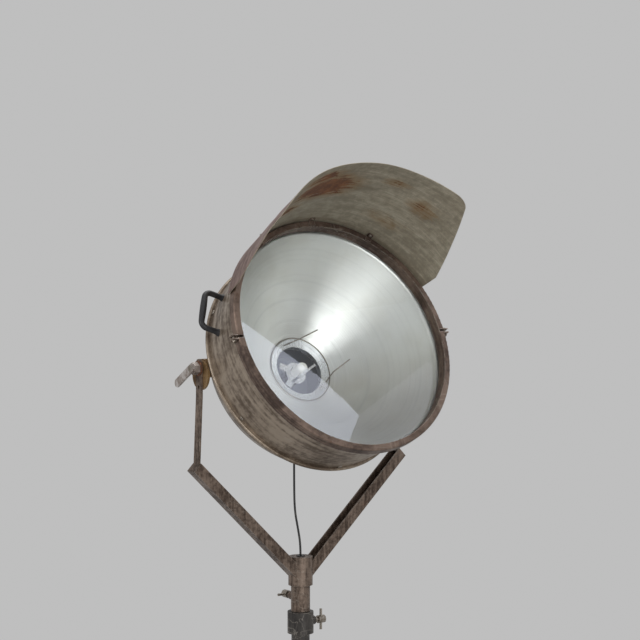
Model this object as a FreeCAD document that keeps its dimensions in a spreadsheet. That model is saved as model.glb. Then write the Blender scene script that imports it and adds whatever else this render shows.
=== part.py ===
import FreeCAD, Part
import Sketcher
import math
import os

from FreeCAD import Placement, Rotation, Vector

os.makedirs("parts", exist_ok=True)
doc = FreeCAD.newDocument("spotlight_lamp")

# ---------------------------------------------------------------- driving dimensions, mm and degrees
# The lamp stands on the floor with its column on the Z axis, and the head looks towards -Y.
# "depth" is measured along the head's own axis from the tilt axis, forwards positive.
SIZES = [
    ("pivot_height", 1462),
    ("pivot_rise", 12),
    ("head_tilt", 27),
    ("sheet_wall", 1.6),
    ("seat_gap", 0.3),
    ("fit_gap", 0.05),
    # drum
    ("drum_front_radius", 271),
    ("drum_rear_radius", 254),
    ("drum_front_depth", 188),
    ("drum_rear_depth", 30),
    ("drum_flange_width", 5),
    ("bead_radius", 4.15),
    # back shell
    ("shell_lip_length", 24),
    ("shell_flange_width", 6),
    ("shell_mid_inset", 56),
    ("shell_mid_depth", -60),
    ("shell_end_radius", 72),
    ("shell_end_depth", -134),
    ("shell_hole_radius", 40),
    ("shell_screw_count", 6),
    ("vent_radius", 5),
    ("vent_circle_radius", 104),
    ("vent_count", 16),
    # bezel ring, glass and its seal
    ("bezel_lap", 4),
    ("bezel_face", 14.4),
    ("bezel_skirt", 20),
    ("bezel_rounding", 3),
    ("bezel_step", 8.7),
    ("lug_reach", 13),
    ("lug_wall", 2.5),
    ("lug_gap", 6),
    ("glass_recess", 20),
    ("glass_thickness", 4),
    ("seal_wall", 1.7),
    # reflector
    ("dish_rim_radius", 259),
    ("dish_neck_radius", 61),
    ("dish_neck_depth", -8.5),
    ("dish_width", 370),
    ("dish_wall", 1.2),
    ("dish_lip_step", 1.6),
    # lamp
    ("collar_wall", 2.5),
    ("collar_width", 14.5),
    ("collar_length", 12),
    ("cup_length", 60),
    ("cup_flange", 8),
    ("holder_radius", 20),
    ("holder_front_depth", -24),
    ("holder_length", 72),
    ("holder_bore_radius", 14),
    ("holder_bore_depth", 30),
    ("stem_radius", 6.5),
    ("bulb_radius", 13.6),
    ("bulb_tip_depth", 18),
    ("bulb_cap_length", 22),
    ("bracket_radius", 26),
    ("bracket_wall", 2),
    ("clip_length", 60),
    ("clip_width", 5.5),
    ("clip_wall", 1.2),
    ("clip_offset", 11.8),
    ("clip_turn", 27),
    ("cover_radius", 62),
    ("cover_wall", 3),
    ("cover_screw_circle", 52),
    ("spring_wire_radius", 1.2),
    ("spring_ring_radius", 78),
    # visor
    ("visor_lift", 3),
    ("visor_front_depth", 452),
    ("visor_rear_depth", 172),
    ("visor_front_curve", 340),
    ("visor_centre_drop", 52),
    ("visor_half_turn", 76),
    ("visor_front_half_turn", 64),
    ("visor_lean", 0.5),
    ("visor_edge_rise", 112),
    ("visor_shoulder_depth", 238),
    ("visor_corner_rise", 193),
    ("visor_corner_rounding", 30),
    ("visor_wall", 1.5),
    # carrying handle
    ("handle_turn", 157.3),
    ("handle_depth", 91),
    ("handle_spread", 90),
    ("handle_reach", 41),
    ("handle_bar_radius", 7.5),
    ("handle_bend", 14),
    # trunnions and their clamps
    ("stud_radius", 8),
    ("stud_inset", 8),
    ("boss_radius", 21),
    ("friction_disc_radius", 33),
    ("friction_disc_wall", 5.5),
    ("friction_disc_drop", 15),
    ("washer_radius", 17),
    ("washer_wall", 2.5),
    ("nut_width", 24),
    ("nut_length", 14),
    ("lever_length", 76),
    ("lever_width", 18),
    ("lever_wall", 5.5),
    ("lever_drop", 31),
    # yoke
    ("arm_gap", 14.3),
    ("arm_wall", 4),
    ("arm_width", 23),
    ("arm_top_rise", 21),
    ("arm_joggle_drop", 62),
    ("arm_joggle", 6.2),
    ("arm_hole_radius", 4.3),
    ("arm_hole_drop", 41),
    ("yoke_corner_step", 24.3),
    ("yoke_corner_drop", 227),
    ("yoke_slope", 44),
    ("channel_width", 32),
    ("channel_height", 25),
    ("channel_wall", 3.5),
    ("hub_shoulder", 6),
    ("hub_drop", 442),
    ("hub_height", 66),
    ("hub_roof", 28),
    ("socket_wall", 6),
    ("socket_length", 60),
    ("grommet_radius", 6),
    # column
    ("mast_radius", 16),
    ("mast_wall", 3),
    ("mast_length", 572),
    ("bush_wall", 2),
    ("tube_wall", 3),
    ("tube_bottom_height", 140),
    ("collar_ring_wall", 9),
    ("collar_height", 50),
    ("lock_screw_radius", 5),
    ("lock_screw_reach", 66),
    ("lock_boss_radius", 10),
    ("lock_boss_reach", 38),
    ("lock_knob_radius", 9),
    ("tommy_radius", 3),
    ("tommy_length", 48),
    # tripod
    ("hinge_height", 655),
    ("hinge_reach", 22),
    ("leg_hub_wall", 12),
    ("leg_hub_height", 60),
    ("ear_wall", 6),
    ("ear_radius", 13),
    ("foot_radius", 450),
    ("leg_radius", 13),
    ("leg_wall", 2.5),
    ("leg_top_drop", 30),
    ("leg_cap_wall", 8),
    ("tongue_wall", 8),
    ("tongue_width", 24),
    ("stop_gap", 0.4),
    ("boot_radius", 17),
    ("boot_grip", 32),
    ("boot_sole", 16),
    ("hinge_bolt_radius", 4),
    # cord
    ("cord_radius", 2.5),
    ("gland_radius", 8),
    ("gland_offset", 26),
    ("gland_drop", 217),
    ("gland_length", 42),
    ("floor_gap", 0.2),
    ("coil_radius", 39),
    ("coil_core_radius", 16.6),
    ("coil_step", 6),
    ("coil_centre_back", 250),
    ("tie_width", 8),
    ("tie_wall", 1.2),
    ("plug_radius", 11),
    ("plug_length", 38),
]

sheet = doc.addObject("Spreadsheet::Sheet", "Sizes")
for row, (alias, value) in enumerate(SIZES, start=1):
    sheet.set(f"A{row}", alias)
    sheet.set(f"B{row}", str(value))
    sheet.setAlias(f"B{row}", alias)
doc.recompute()


class Amount:
    """A number together with the formula on the sheet that gives it."""

    def __init__(self, number, formula=None):
        self.number = float(number)
        self.formula = formula or repr(float(number))

    def _with(self, other, sign, number):
        return Amount(number, f"({self.formula} {sign} {other.formula})")

    def __add__(self, other):
        other = amount(other)
        return self._with(other, "+", self.number + other.number)

    def __sub__(self, other):
        other = amount(other)
        return self._with(other, "-", self.number - other.number)

    def __rsub__(self, other):
        return amount(other) - self

    def __mul__(self, other):
        other = amount(other)
        return self._with(other, "*", self.number * other.number)

    def __truediv__(self, other):
        other = amount(other)
        return self._with(other, "/", self.number / other.number)

    def __neg__(self):
        return amount(0) - self

    def __float__(self):
        return self.number

    __radd__ = __add__
    __rmul__ = __mul__


def amount(value):
    return value if isinstance(value, Amount) else Amount(value)


def sine(angle):
    return Amount(math.sin(math.radians(float(angle))), f"sin({angle.formula})")


def cosine(angle):
    return Amount(math.cos(math.radians(float(angle))), f"cos({angle.formula})")


class Sizes:
    """size.sheet_wall is that cell of the sheet, as an Amount."""

    def __getattr__(self, alias):
        return Amount(sheet.get(alias), f"Sizes.{alias}")


size = Sizes()

# Radii that follow from the drum's, each by its own step.
drum_flange_radius = size.drum_front_radius + size.drum_flange_width
bezel_radius = drum_flange_radius + size.bezel_lap
bezel_opening_radius = bezel_radius - size.bezel_face
visor_radius = bezel_radius + size.visor_lift
stud_root = size.drum_rear_radius - size.stud_inset
arm_inside = size.drum_rear_radius + size.arm_gap
yoke_corner_reach = arm_inside + size.yoke_corner_step
shell_mid_radius = size.drum_rear_radius - size.shell_mid_inset

# Radii that follow from the mast's.
socket_radius = size.mast_radius + size.socket_wall
hub_radius = socket_radius + size.hub_shoulder
tube_inside = size.mast_radius + size.bush_wall
tube_radius = tube_inside + size.tube_wall
collar_radius = tube_radius + size.collar_ring_wall
leg_hub_radius = tube_radius + size.leg_hub_wall
hinge_radius = leg_hub_radius + size.hinge_reach


# ---------------------------------------------------------------- ways of making a piece
NODES = {}
GROUND = Placement()
X_AXIS = Vector(1, 0, 0)
Y_AXIS = Vector(0, 1, 0)
Z_AXIS = Vector(0, 0, 1)


def keep(label, piece):
    """The piece is a node of the lamp under this name."""
    piece.Label = label
    NODES[label] = piece
    return piece


def bind(piece, **values):
    for name, value in values.items():
        value = amount(value)
        setattr(piece, name, value.number)
        piece.setExpression(name, value.formula)


def origin_plane(body, role):
    return next(f for f in body.Origin.OriginFeatures if f.Role == role)


def draw(body, plane, corners):
    """A closed outline on one of the body's planes. A corner is (across, up), and a corner with two
    more amounts (across, up, via_across, via_up) ends an arc that passes through the via point."""
    sketch = body.newObject("Sketcher::SketchObject", body.Name + "_outline")
    sketch.AttachmentSupport = [(origin_plane(body, plane), "")]
    sketch.MapMode = "FlatFace"
    corners = [tuple(amount(value) for value in corner) for corner in corners]
    points = [Vector(c[0].number, c[1].number, 0) for c in corners]
    ends = []
    for i, corner in enumerate(corners):
        before = points[i - 1]
        if len(corner) == 2:
            edge = sketch.addGeometry(Part.LineSegment(before, points[i]), False)
            ends.append((edge, 1, 2))
            continue
        via = Vector(corner[2].number, corner[3].number, 0)
        if (via - before).cross(points[i] - via).z > 0:
            edge = sketch.addGeometry(Part.Arc(before, via, points[i]), False)
            ends.append((edge, 1, 2))
        else:
            edge = sketch.addGeometry(Part.Arc(points[i], via, before), False)
            ends.append((edge, 2, 1))
    for i, (edge, start, end) in enumerate(ends):
        after = ends[(i + 1) % len(ends)]
        sketch.addConstraint(Sketcher.Constraint("Coincident", edge, end, after[0], after[1]))
        fix_point(sketch, edge, end, corners[i][0], corners[i][1])
        if len(corners[i]) == 4:
            mark = sketch.addGeometry(Part.Point(Vector(corners[i][2].number, corners[i][3].number, 0)), True)
            fix_point(sketch, mark, 1, corners[i][2], corners[i][3])
            sketch.addConstraint(Sketcher.Constraint("PointOnObject", mark, 1, edge))
    return sketch


def fix_point(sketch, edge, end, across, up):
    for kind, value in (("DistanceX", across), ("DistanceY", up)):
        index = sketch.addConstraint(Sketcher.Constraint(kind, edge, end, value.number))
        sketch.setExpression(f"Constraints[{index}]", value.formula)


def turned(label, corners, place=GROUND):
    """A piece turned on a lathe: corners are (radius, height) about the piece's own Z axis."""
    body = doc.addObject("PartDesign::Body", label)
    sketch = draw(body, "XZ_Plane", corners)
    turn = body.newObject("PartDesign::Revolution", label + "_turn")
    turn.Profile = sketch
    turn.ReferenceAxis = (sketch, ["V_Axis"])
    turn.Angle = 360
    body.Placement = place
    return body


def sleeve(label, inner, outer, bottom, top, place=GROUND):
    """A tube with square ends."""
    return turned(label, [(outer, bottom), (outer, top), (inner, top), (inner, bottom)], place)


def rod(label, radius, length, place):
    piece = doc.addObject("Part::Cylinder", label)
    bind(piece, Radius=radius, Height=length)
    piece.Placement = place
    return piece


def block(label, length, width, height, place):
    """A box whose middle stands at the place."""
    piece = doc.addObject("Part::Box", label)
    bind(piece, Length=length, Width=width, Height=height)
    piece.Placement = place * Placement(at(-length / 2, -width / 2, -height / 2), Rotation())
    return piece


def hexagon(label, across_flats, length, place):
    piece = doc.addObject("Part::Prism", label)
    piece.Polygon = 6
    bind(piece, Circumradius=across_flats / math.sqrt(3), Height=length)
    piece.Placement = place
    return piece


def plate(label, corners, thickness, place=GROUND):
    """A flat piece: its outline lies on its own XY plane and it is as thick as that both ways in all."""
    body = doc.addObject("PartDesign::Body", label)
    pad = body.newObject("PartDesign::Pad", label + "_pad")
    pad.Profile = draw(body, "XY_Plane", corners)
    pad.Midplane = True
    bind(pad, Length=thickness)
    body.Placement = place
    return body


def fused(label, *pieces):
    piece = doc.addObject("Part::MultiFuse", label)
    piece.Shapes = list(pieces)
    piece.Refine = True
    return piece


def shared(label, base, tool):
    piece = doc.addObject("Part::Common", label)
    piece.Base = base
    piece.Tool = tool
    return piece


def cut(label, base, *tools):
    for i, tool in enumerate(tools):
        last = i == len(tools) - 1
        piece = doc.addObject("Part::Cut", label if last else f"{label}_cut{i}")
        piece.Base = base
        piece.Tool = tool
        base = piece
    return base


def group(label, pieces):
    """Identical fasteners share a node, each still a solid of its own."""
    piece = doc.addObject("Part::Compound", label)
    piece.Links = list(pieces)
    return keep(label, piece)


def formed(label, shape, place=GROUND):
    piece = doc.addObject("Part::Feature", label)
    piece.Shape = shape
    piece.Placement = place
    return piece


def at(x, y, z):
    return Vector(float(x), float(y), float(z))


def along(base, direction):
    """The place whose own Z axis points that way."""
    return Placement(base, Rotation(Z_AXIS, direction))


def bent(points, radii=None):
    """A path of straight runs with a tangent arc at each point between them."""
    points = [Vector(p) for p in points]
    edges, start = [], points[0]
    used = []
    for i in range(1, len(points) - 1):
        back = (points[i - 1] - points[i])
        on = (points[i + 1] - points[i])
        half = (math.pi - back.getAngle(on)) / 2
        shorter = min(back.Length, on.Length)
        radius = radii if radii else 0.45 * shorter / math.tan(half)
        step = radius * math.tan(half)
        back.normalize()
        on.normalize()
        centre = points[i] + (back + on).normalize() * (radius / math.cos(half))
        enter, leave = points[i] + back * step, points[i] + on * step
        via = centre + (points[i] - centre).normalize() * radius
        edges += [Part.LineSegment(start, enter).toShape(), Part.Arc(enter, via, leave).toShape()]
        start = leave
        used.append(radius)
    edges.append(Part.LineSegment(start, points[-1]).toShape())
    return Part.Wire(edges), used


def tube_along(label, path, radius):
    """A round solid of that radius along the path."""
    first = path.OrderedEdges[0]
    start = first.valueAt(first.FirstParameter)
    ring = Part.Wire(Part.makeCircle(radius, start, first.tangentAt(first.FirstParameter)))
    solid = path.makePipeShell([ring], True, False)
    want = math.pi * radius ** 2 * path.Length
    print(f"{label}: {path.Length:.0f} mm long, volume {solid.Volume / want:.4f} of section times length")
    return formed(label, solid)


# ---------------------------------------------------------------- places
pivot = at(0, 0, size.pivot_height)
HEAD = Placement(at(0, 0, size.pivot_height - size.pivot_rise), Rotation(X_AXIS, 90 - float(size.head_tilt)))


def in_head(turn, radius, depth, lean=0):
    """A place on the head: Z points out from its axis, X towards the front, at that turn about the
    axis from the right hand side; lean tips Z backwards to stand square on a cone."""
    angle, slope = math.radians(float(turn)), math.radians(float(lean))
    out = Vector(math.cos(angle), math.sin(angle), 0)
    square = out * math.cos(slope) - Z_AXIS * math.sin(slope)
    front = out * math.sin(slope) + Z_AXIS * math.cos(slope)
    base = out * float(radius) + Z_AXIS * float(depth)
    return HEAD * Placement(base, Rotation(front, Vector(), square, "ZXY"))


def head_box(label, length, width, height, x, up, depth, turn=0):
    """A box in the head's own frame, turned about the head's axis."""
    spin = Placement(Vector(), Rotation(Z_AXIS, float(turn)))
    return block(label, length, width, height, HEAD * spin * Placement(at(x, up, depth), Rotation()))


# ---------------------------------------------------------------- drum and back shell
wall = size.sheet_wall
drum_rear = size.drum_rear_depth
drum_front = size.drum_front_depth
drum_shoulder = drum_front - wall - 2.4
drum_lean = math.degrees(math.atan2(float(size.drum_front_radius - size.drum_rear_radius),
                                    float(drum_shoulder - drum_rear)))


def drum_radius(depth):
    """Outer radius of the drum's cone at a depth."""
    share = (amount(depth) - drum_rear) / (drum_shoulder - drum_rear)
    return size.drum_rear_radius + (size.drum_front_radius - size.drum_rear_radius) * share


def drum_inside(depth):
    """Radius of the drum's inner face, straight from its rear edge to its front."""
    share = (amount(depth) - drum_rear) / (drum_front - drum_rear)
    return size.drum_rear_radius - wall + (size.drum_front_radius - size.drum_rear_radius) * share


shell_lip = size.drum_rear_radius - wall - size.seat_gap
shell_flange_depth = drum_rear - wall
shell_outside = [
    (shell_lip, drum_rear),
    (size.drum_rear_radius + size.shell_flange_width, drum_rear),
    (size.drum_rear_radius + size.shell_flange_width, shell_flange_depth),
    (shell_lip, shell_flange_depth),
    (size.shell_end_radius, size.shell_end_depth, shell_mid_radius, size.shell_mid_depth),
]


def shell_envelope(label):
    """All the space that the back shell closes in, to trim what stands on it."""
    return turned(label, shell_outside + [(0, size.shell_end_depth), (0, drum_rear)], HEAD)


def drum_envelope(label):
    corners = [(0, drum_rear), (size.drum_rear_radius, drum_rear)]
    corners += [(size.drum_front_radius, drum_shoulder), (0, drum_shoulder)]
    return turned(label, corners, HEAD)


shell_screw_depth = drum_rear + 14
shell_screw_shank = 2
shell_screw_places = [
    in_head(30 + 360 / float(size.shell_screw_count) * i, drum_radius(shell_screw_depth) + size.fit_gap,
            shell_screw_depth, drum_lean)
    for i in range(int(float(size.shell_screw_count)))
]


def below(place, drop):
    """The place moved back along its own Z axis."""
    return place * Placement(at(0, 0, -amount(drop)), Rotation())


def holes(label, places, radius, drop, depth):
    """Tools that bore a round hole at each place, from so far below it over so long a depth."""
    rods = [rod(f"{label}_{i}", radius, depth, below(p, drop)) for i, p in enumerate(places)]
    tool = doc.addObject("Part::Compound", label)
    tool.Links = rods
    return tool


def screw(label, head, head_height, shank, length, place):
    """A pan head screw: its head stands on the place and its shank goes down from it."""
    head, head_height = amount(head), amount(head_height)
    return turned(label, [
        (0, -amount(length)), (shank, -amount(length)), (shank, 0), (head, 0), (head, head_height * 0.5),
        (head * 0.5, head_height, head * 0.84, head_height * 0.86), (0, head_height),
    ], place)


handle_frame = in_head(size.handle_turn, 0, size.handle_depth)
handle_leg = size.handle_spread / 2
handle_top = drum_radius(size.handle_depth) + size.handle_reach
handle_inside = math.sqrt(float(drum_radius(size.handle_depth) - wall) ** 2 - float(handle_leg) ** 2)
handle_screw_shank = 3
handle_screw_length = 18
handle_screw_head = 5
handle_screw_seat = handle_inside - handle_screw_head * math.tan(math.radians(drum_lean)) - 0.562
handle_screw_places = [
    handle_frame * Placement(at(0, side * handle_leg, handle_screw_seat), Rotation(X_AXIS, 180))
    for side in (-1, 1)
]

bead = size.bead_radius
drum_blank = turned("drum_blank", [
    (size.drum_rear_radius - wall, drum_rear),
    (size.drum_rear_radius + bead, drum_rear),
    (size.drum_rear_radius + bead, drum_rear + bead * 2, size.drum_rear_radius + bead * 2, drum_rear + bead),
    (drum_radius(drum_rear + bead * 2), drum_rear + bead * 2),
    (size.drum_front_radius, drum_shoulder),
    (drum_flange_radius, drum_front - wall),
    (drum_flange_radius, drum_front),
    (size.drum_front_radius - wall, drum_front),
], HEAD)
keep("housing_drum", cut(
    "housing_drum", drum_blank,
    holes("drum_screw_holes", shell_screw_places, shell_screw_shank + size.fit_gap, 12, 20),
    holes("drum_handle_holes", [below(p, handle_screw_length) for p in handle_screw_places],
          handle_screw_shank + size.fit_gap, 0, handle_screw_length),
))

shell_slope = 0.7
gland_top = pivot + at(0, size.gland_offset, size.gland_length - size.gland_drop)
gland_end = pivot + at(0, size.gland_offset, -size.gland_drop)
shell_blank = turned("shell_blank", [
    (shell_lip, drum_rear + size.shell_lip_length),
] + shell_outside + [
    (size.shell_hole_radius, size.shell_end_depth),
    (size.shell_hole_radius, size.shell_end_depth + wall),
    (size.shell_end_radius, size.shell_end_depth + wall),
    (shell_lip - wall, shell_flange_depth,
     shell_mid_radius - wall * shell_slope, size.shell_mid_depth + wall * shell_slope),
    (shell_lip - wall, drum_rear + size.shell_lip_length),
], HEAD)
vent_places = [in_head(360 / float(size.vent_count) * i, size.vent_circle_radius, 0)
               for i in range(int(float(size.vent_count)))]
vent_places = [Placement(p.Base, HEAD.Rotation * Rotation(X_AXIS, 180)) for p in vent_places]
cover_screw_shank = 2
cover_front = size.shell_end_depth
cover_screw_places = [
    HEAD * Placement(at(size.cover_screw_circle * math.cos(math.radians(90 + 120 * i)),
                        size.cover_screw_circle * math.sin(math.radians(90 + 120 * i)),
                        cover_front - size.cover_wall), Rotation(X_AXIS, 180))
    for i in range(3)
]
keep("back_shell", cut(
    "back_shell", shell_blank,
    holes("vent_holes", vent_places, size.vent_radius, 0, -cover_front * 1.1),
    holes("shell_screw_holes", shell_screw_places, shell_screw_shank + size.fit_gap, 12, 20),
    holes("shell_cover_holes", cover_screw_places, cover_screw_shank + size.fit_gap, 12, 20),
    rod("shell_gland_hole", size.gland_radius + size.fit_gap, size.gland_length * 1.5, along(gland_end, Z_AXIS)),
))
group("shell_screws", [
    screw(f"shell_screw_{i}", 5, 2.6, shell_screw_shank, 9, p) for i, p in enumerate(shell_screw_places)
])

cover_blank = turned("cover_blank", [
    (0, cover_front - size.cover_wall), (size.cover_radius, cover_front - size.cover_wall),
    (size.cover_radius, cover_front), (size.stem_radius, cover_front),
    (size.stem_radius, size.holder_front_depth - size.holder_length),
    (0, size.holder_front_depth - size.holder_length),
], HEAD)
keep("rear_cover", cut(
    "rear_cover", cover_blank,
    holes("cover_holes", cover_screw_places, cover_screw_shank + size.fit_gap, 12, 20),
))
group("cover_screws", [
    screw(f"cover_screw_{i}", 4.5, 2.4, cover_screw_shank, 8, p) for i, p in enumerate(cover_screw_places)
])

# ---------------------------------------------------------------- reflector
neck = size.dish_neck_radius


def dish_depth(radius):
    """Depth of the reflector's bright face at a radius: a paraboloid."""
    radius = amount(radius)
    return size.dish_neck_depth + (radius * radius - neck * neck) / size.dish_width


dish_rim = size.dish_rim_radius
dish_radii = [neck + (dish_rim - neck) * (i / 6) for i in range(7)]
dish_back = size.dish_wall * 1.5
dish_lip = dish_rim + size.dish_lip_step
dish_flange_rear = drum_front - size.glass_recess
dish_flange_front = dish_flange_rear + size.dish_wall
glass_radius = drum_inside(dish_flange_rear) - size.seat_gap
front_side = [(dish_radii[i + 1], dish_depth(dish_radii[i + 1]), dish_radii[i], dish_depth(dish_radii[i]))
              for i in (1, 3, 5)]
back_side = [(dish_radii[i - 1], dish_depth(dish_radii[i - 1]) - dish_back,
              dish_radii[i], dish_depth(dish_radii[i]) - dish_back) for i in (5, 3, 1)]
keep("reflector", turned("reflector", [(neck, size.dish_neck_depth)] + front_side + [
    (dish_lip, dish_flange_front),
    (glass_radius, dish_flange_front),
    (glass_radius, dish_flange_rear),
    (dish_lip + size.dish_wall, dish_flange_rear),
    (dish_rim + size.dish_wall, dish_depth(dish_rim)),
    (dish_rim, dish_depth(dish_rim) - dish_back),
] + back_side, HEAD))

glass_front = dish_flange_front + size.glass_thickness
seal_front = drum_front + size.bezel_step
bezel_front = seal_front + wall
keep("front_glass", turned("front_glass", [
    (0, dish_flange_front), (glass_radius, dish_flange_front),
    (glass_radius, glass_front), (0, glass_front),
], HEAD))
keep("glass_seal", sleeve("glass_seal", glass_radius - size.seal_wall, glass_radius, glass_front, seal_front, HEAD))

# ---------------------------------------------------------------- bezel in two halves
bezel_rear = bezel_front - size.bezel_skirt
lug_width = size.bezel_skirt - 4
lug_depth = bezel_rear + size.bezel_skirt / 2
lug_middle = bezel_radius + (size.lug_reach - wall) / 2
bezel_screw_shank = 2.5
bezel_screw_x = bezel_radius + size.lug_reach / 2
lug_top = size.lug_gap / 2 + size.lug_wall
bezel_screw_places = [
    HEAD * Placement(at(side * bezel_screw_x, lug_top, lug_depth), Rotation(X_AXIS, -90)) for side in (-1, 1)
]


def bezel_half(label, half):
    """One half of the ring, with a lug turned out at each end."""
    rounding = size.bezel_rounding
    inside = rounding - wall
    bulge = math.cos(math.radians(45))
    ring = turned(label + "_ring", [
        (bezel_radius - wall, bezel_rear),
        (bezel_radius, bezel_rear),
        (bezel_radius, bezel_front - rounding),
        (bezel_radius - rounding, bezel_front,
         bezel_radius - rounding + rounding * bulge, bezel_front - rounding + rounding * bulge),
        (bezel_opening_radius, bezel_front),
        (bezel_opening_radius, seal_front),
        (bezel_radius - rounding, seal_front),
        (bezel_radius - wall, bezel_front - rounding,
         bezel_radius - rounding + inside * bulge, bezel_front - rounding + inside * bulge),
    ], HEAD)
    across = bezel_radius * 2.2
    away = head_box(label + "_away", across, across, size.bezel_skirt * 2,
                    0, half * (size.lug_gap / 2 - across / 2), lug_depth)
    arc = cut(label + "_arc", ring, away)
    lugs = [head_box(f"{label}_lug_{side}", size.lug_reach + wall, size.lug_wall, lug_width,
                     side * lug_middle, half * (size.lug_gap + size.lug_wall) / 2, lug_depth)
            for side in (-1, 1)]
    joined = fused(label + "_joined", arc, *lugs)
    return keep(label, cut(label, joined, holes(label + "_holes", bezel_screw_places,
                                                bezel_screw_shank + size.fit_gap, 20, 30)))


bezel_half("bezel_upper", 1)
bezel_half("bezel_lower", -1)
bezel_nut_length = 4
bezel_nut_place = [below(p, lug_top * 2 + bezel_nut_length) for p in bezel_screw_places]
bezel_nuts = [cut(f"bezel_nut_{i}", hexagon(f"bezel_nut_blank_{i}", amount(8), bezel_nut_length, p),
                  rod(f"bezel_nut_bore_{i}", bezel_screw_shank + size.fit_gap, bezel_nut_length, p))
              for i, p in enumerate(bezel_nut_place)]
group("bezel_screws", [
    screw(f"bezel_screw_{i}", 4.5, 3.5, bezel_screw_shank, lug_top * 2 + bezel_nut_length + 2, p)
    for i, p in enumerate(bezel_screw_places)
] + bezel_nuts)

# ---------------------------------------------------------------- lamp in the neck of the reflector
collar_inside = neck - size.collar_wall
collar_tube = neck - size.seat_gap
collar_edge = neck + size.collar_width
collar_rear = size.dish_neck_depth - size.collar_length
collar_low = size.dish_neck_depth + size.seat_gap
collar_high = dish_depth(collar_edge) + size.seat_gap
collar_skin = 1.6
groove_depth = 0.8


def collar_face(radius, raised):
    """Height of the collar's sloping flange over the reflector at a radius."""
    share = (amount(radius) - collar_tube) / (collar_edge - collar_tube)
    return collar_low + (collar_high - collar_low) * share + raised


groove_outer = neck + 8.5
groove_inner = neck + 6.5
keep("neck_collar", turned("neck_collar", [
    (collar_edge, collar_face(collar_edge, 0)),
    (collar_edge, collar_face(collar_edge, collar_skin)),
    (groove_outer, collar_face(groove_outer, collar_skin)),
    (groove_outer, collar_face(groove_outer, collar_skin - groove_depth)),
    (groove_inner, collar_face(groove_inner, collar_skin - groove_depth)),
    (groove_inner, collar_face(groove_inner, collar_skin)),
    (neck, collar_face(neck, collar_skin)),
    (collar_inside, collar_low, collar_inside + 0.6, collar_low + 1.4),
    (collar_inside, collar_rear),
    (collar_tube, collar_rear),
    (collar_tube, collar_low),
], HEAD))

cup_front = size.dish_neck_depth - dish_back - size.seat_gap
cup_rear = cup_front - size.cup_length
keep("lamp_cup", turned("lamp_cup", [
    (neck, cup_front),
    (neck + size.cup_flange, cup_front),
    (neck + size.cup_flange, cup_front - wall),
    (neck + wall, cup_front - wall),
    (neck + wall, cup_rear - wall),
    (size.holder_radius + size.seat_gap, cup_rear - wall),
    (size.holder_radius + size.seat_gap, cup_rear),
    (neck, cup_rear),
], HEAD))

holder_front = size.holder_front_depth
holder_rear = holder_front - size.holder_length
bore_floor = holder_front - size.holder_bore_depth
keep("lampholder", turned("lampholder", [
    (0, holder_rear), (size.holder_radius, holder_rear), (size.holder_radius, holder_front),
    (size.holder_bore_radius, holder_front), (size.holder_bore_radius, bore_floor), (0, bore_floor),
], HEAD))
cap_radius = size.holder_bore_radius - size.seat_gap
cap_front = bore_floor + size.bulb_cap_length
keep("bulb_cap", turned("bulb_cap", [
    (0, bore_floor), (cap_radius, bore_floor), (cap_radius, cap_front), (0, cap_front),
], HEAD))
bulb_shoulder = size.bulb_tip_depth - size.bulb_radius
keep("bulb_globe", turned("bulb_globe", [
    (0, cap_front), (size.bulb_radius, cap_front), (size.bulb_radius, bulb_shoulder),
    (0, size.bulb_tip_depth, size.bulb_radius * math.cos(math.radians(45)),
     bulb_shoulder + size.bulb_radius * math.sin(math.radians(45))),
], HEAD))

bracket_middle = holder_front + size.bracket_wall / 2
bracket_disc = sleeve("bracket_disc", size.holder_bore_radius + 0.6, size.bracket_radius,
                      holder_front, holder_front + size.bracket_wall, HEAD)
ear_turns = (152, 225)
bracket_ears = [head_box(f"bracket_ear_{i}", 22, 16, size.bracket_wall, size.bracket_radius + 6, 0,
                         bracket_middle, turn) for i, turn in enumerate(ear_turns)]
keep("lamp_bracket", fused("lamp_bracket", bracket_disc, *bracket_ears))
clip_front = size.bulb_tip_depth + 1 + size.clip_wall / 2
clip_start = -34
clip_foot = holder_front + size.bracket_wall
clip_bar = head_box("clip_bar", size.clip_length, size.clip_width, size.clip_wall,
                    clip_start + size.clip_length / 2, -size.clip_offset, clip_front, size.clip_turn)
clip_leg = head_box("clip_leg", size.clip_wall, size.clip_width, clip_front - clip_foot,
                    clip_start + size.clip_wall / 2, -size.clip_offset, (clip_front + clip_foot) / 2,
                    size.clip_turn)
keep("bulb_clip", fused("bulb_clip", clip_bar, clip_leg))

wire = size.spring_wire_radius
ring_radius = size.spring_ring_radius
ring = doc.addObject("Part::Torus", "spring_ring")
bind(ring, Radius1=ring_radius, Radius2=wire)
ring.Placement = HEAD * Placement(at(0, 0, dish_depth(ring_radius) + wire + size.seat_gap), Rotation())


def on_dish(radius, turn, rise):
    angle = math.radians(turn)
    depth = dish_depth(radius) + wire + rise
    return HEAD.multVec(at(radius * math.cos(angle), radius * math.sin(angle), depth))


tail_left = [on_dish(neck + 5, 112, 3.2), on_dish(neck + 18, 74, 1), on_dish(neck + 50, 54, 0.6)]
tail_right = [on_dish(neck + 8, -30, 3.2), on_dish(neck + 25, -8, 0.8), on_dish(neck + 64, 4, 0.6)]
keep("spring_wire", fused(
    "spring_wire", ring,
    tube_along("tail_left", bent(tail_left, 8)[0], float(wire)),
    tube_along("tail_right", bent(tail_right, 8)[0], float(wire)),
))

# ---------------------------------------------------------------- visor
visor_screw_turns = (59, 91, 123)
visor_screw_depth = bezel_front + 6
visor_screw_shank = 2
visor_screw_places = [
    in_head(turn, visor_radius - size.visor_wall, visor_screw_depth) * Placement(Vector(), Rotation(X_AXIS, 180))
    for turn in visor_screw_turns
]


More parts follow.
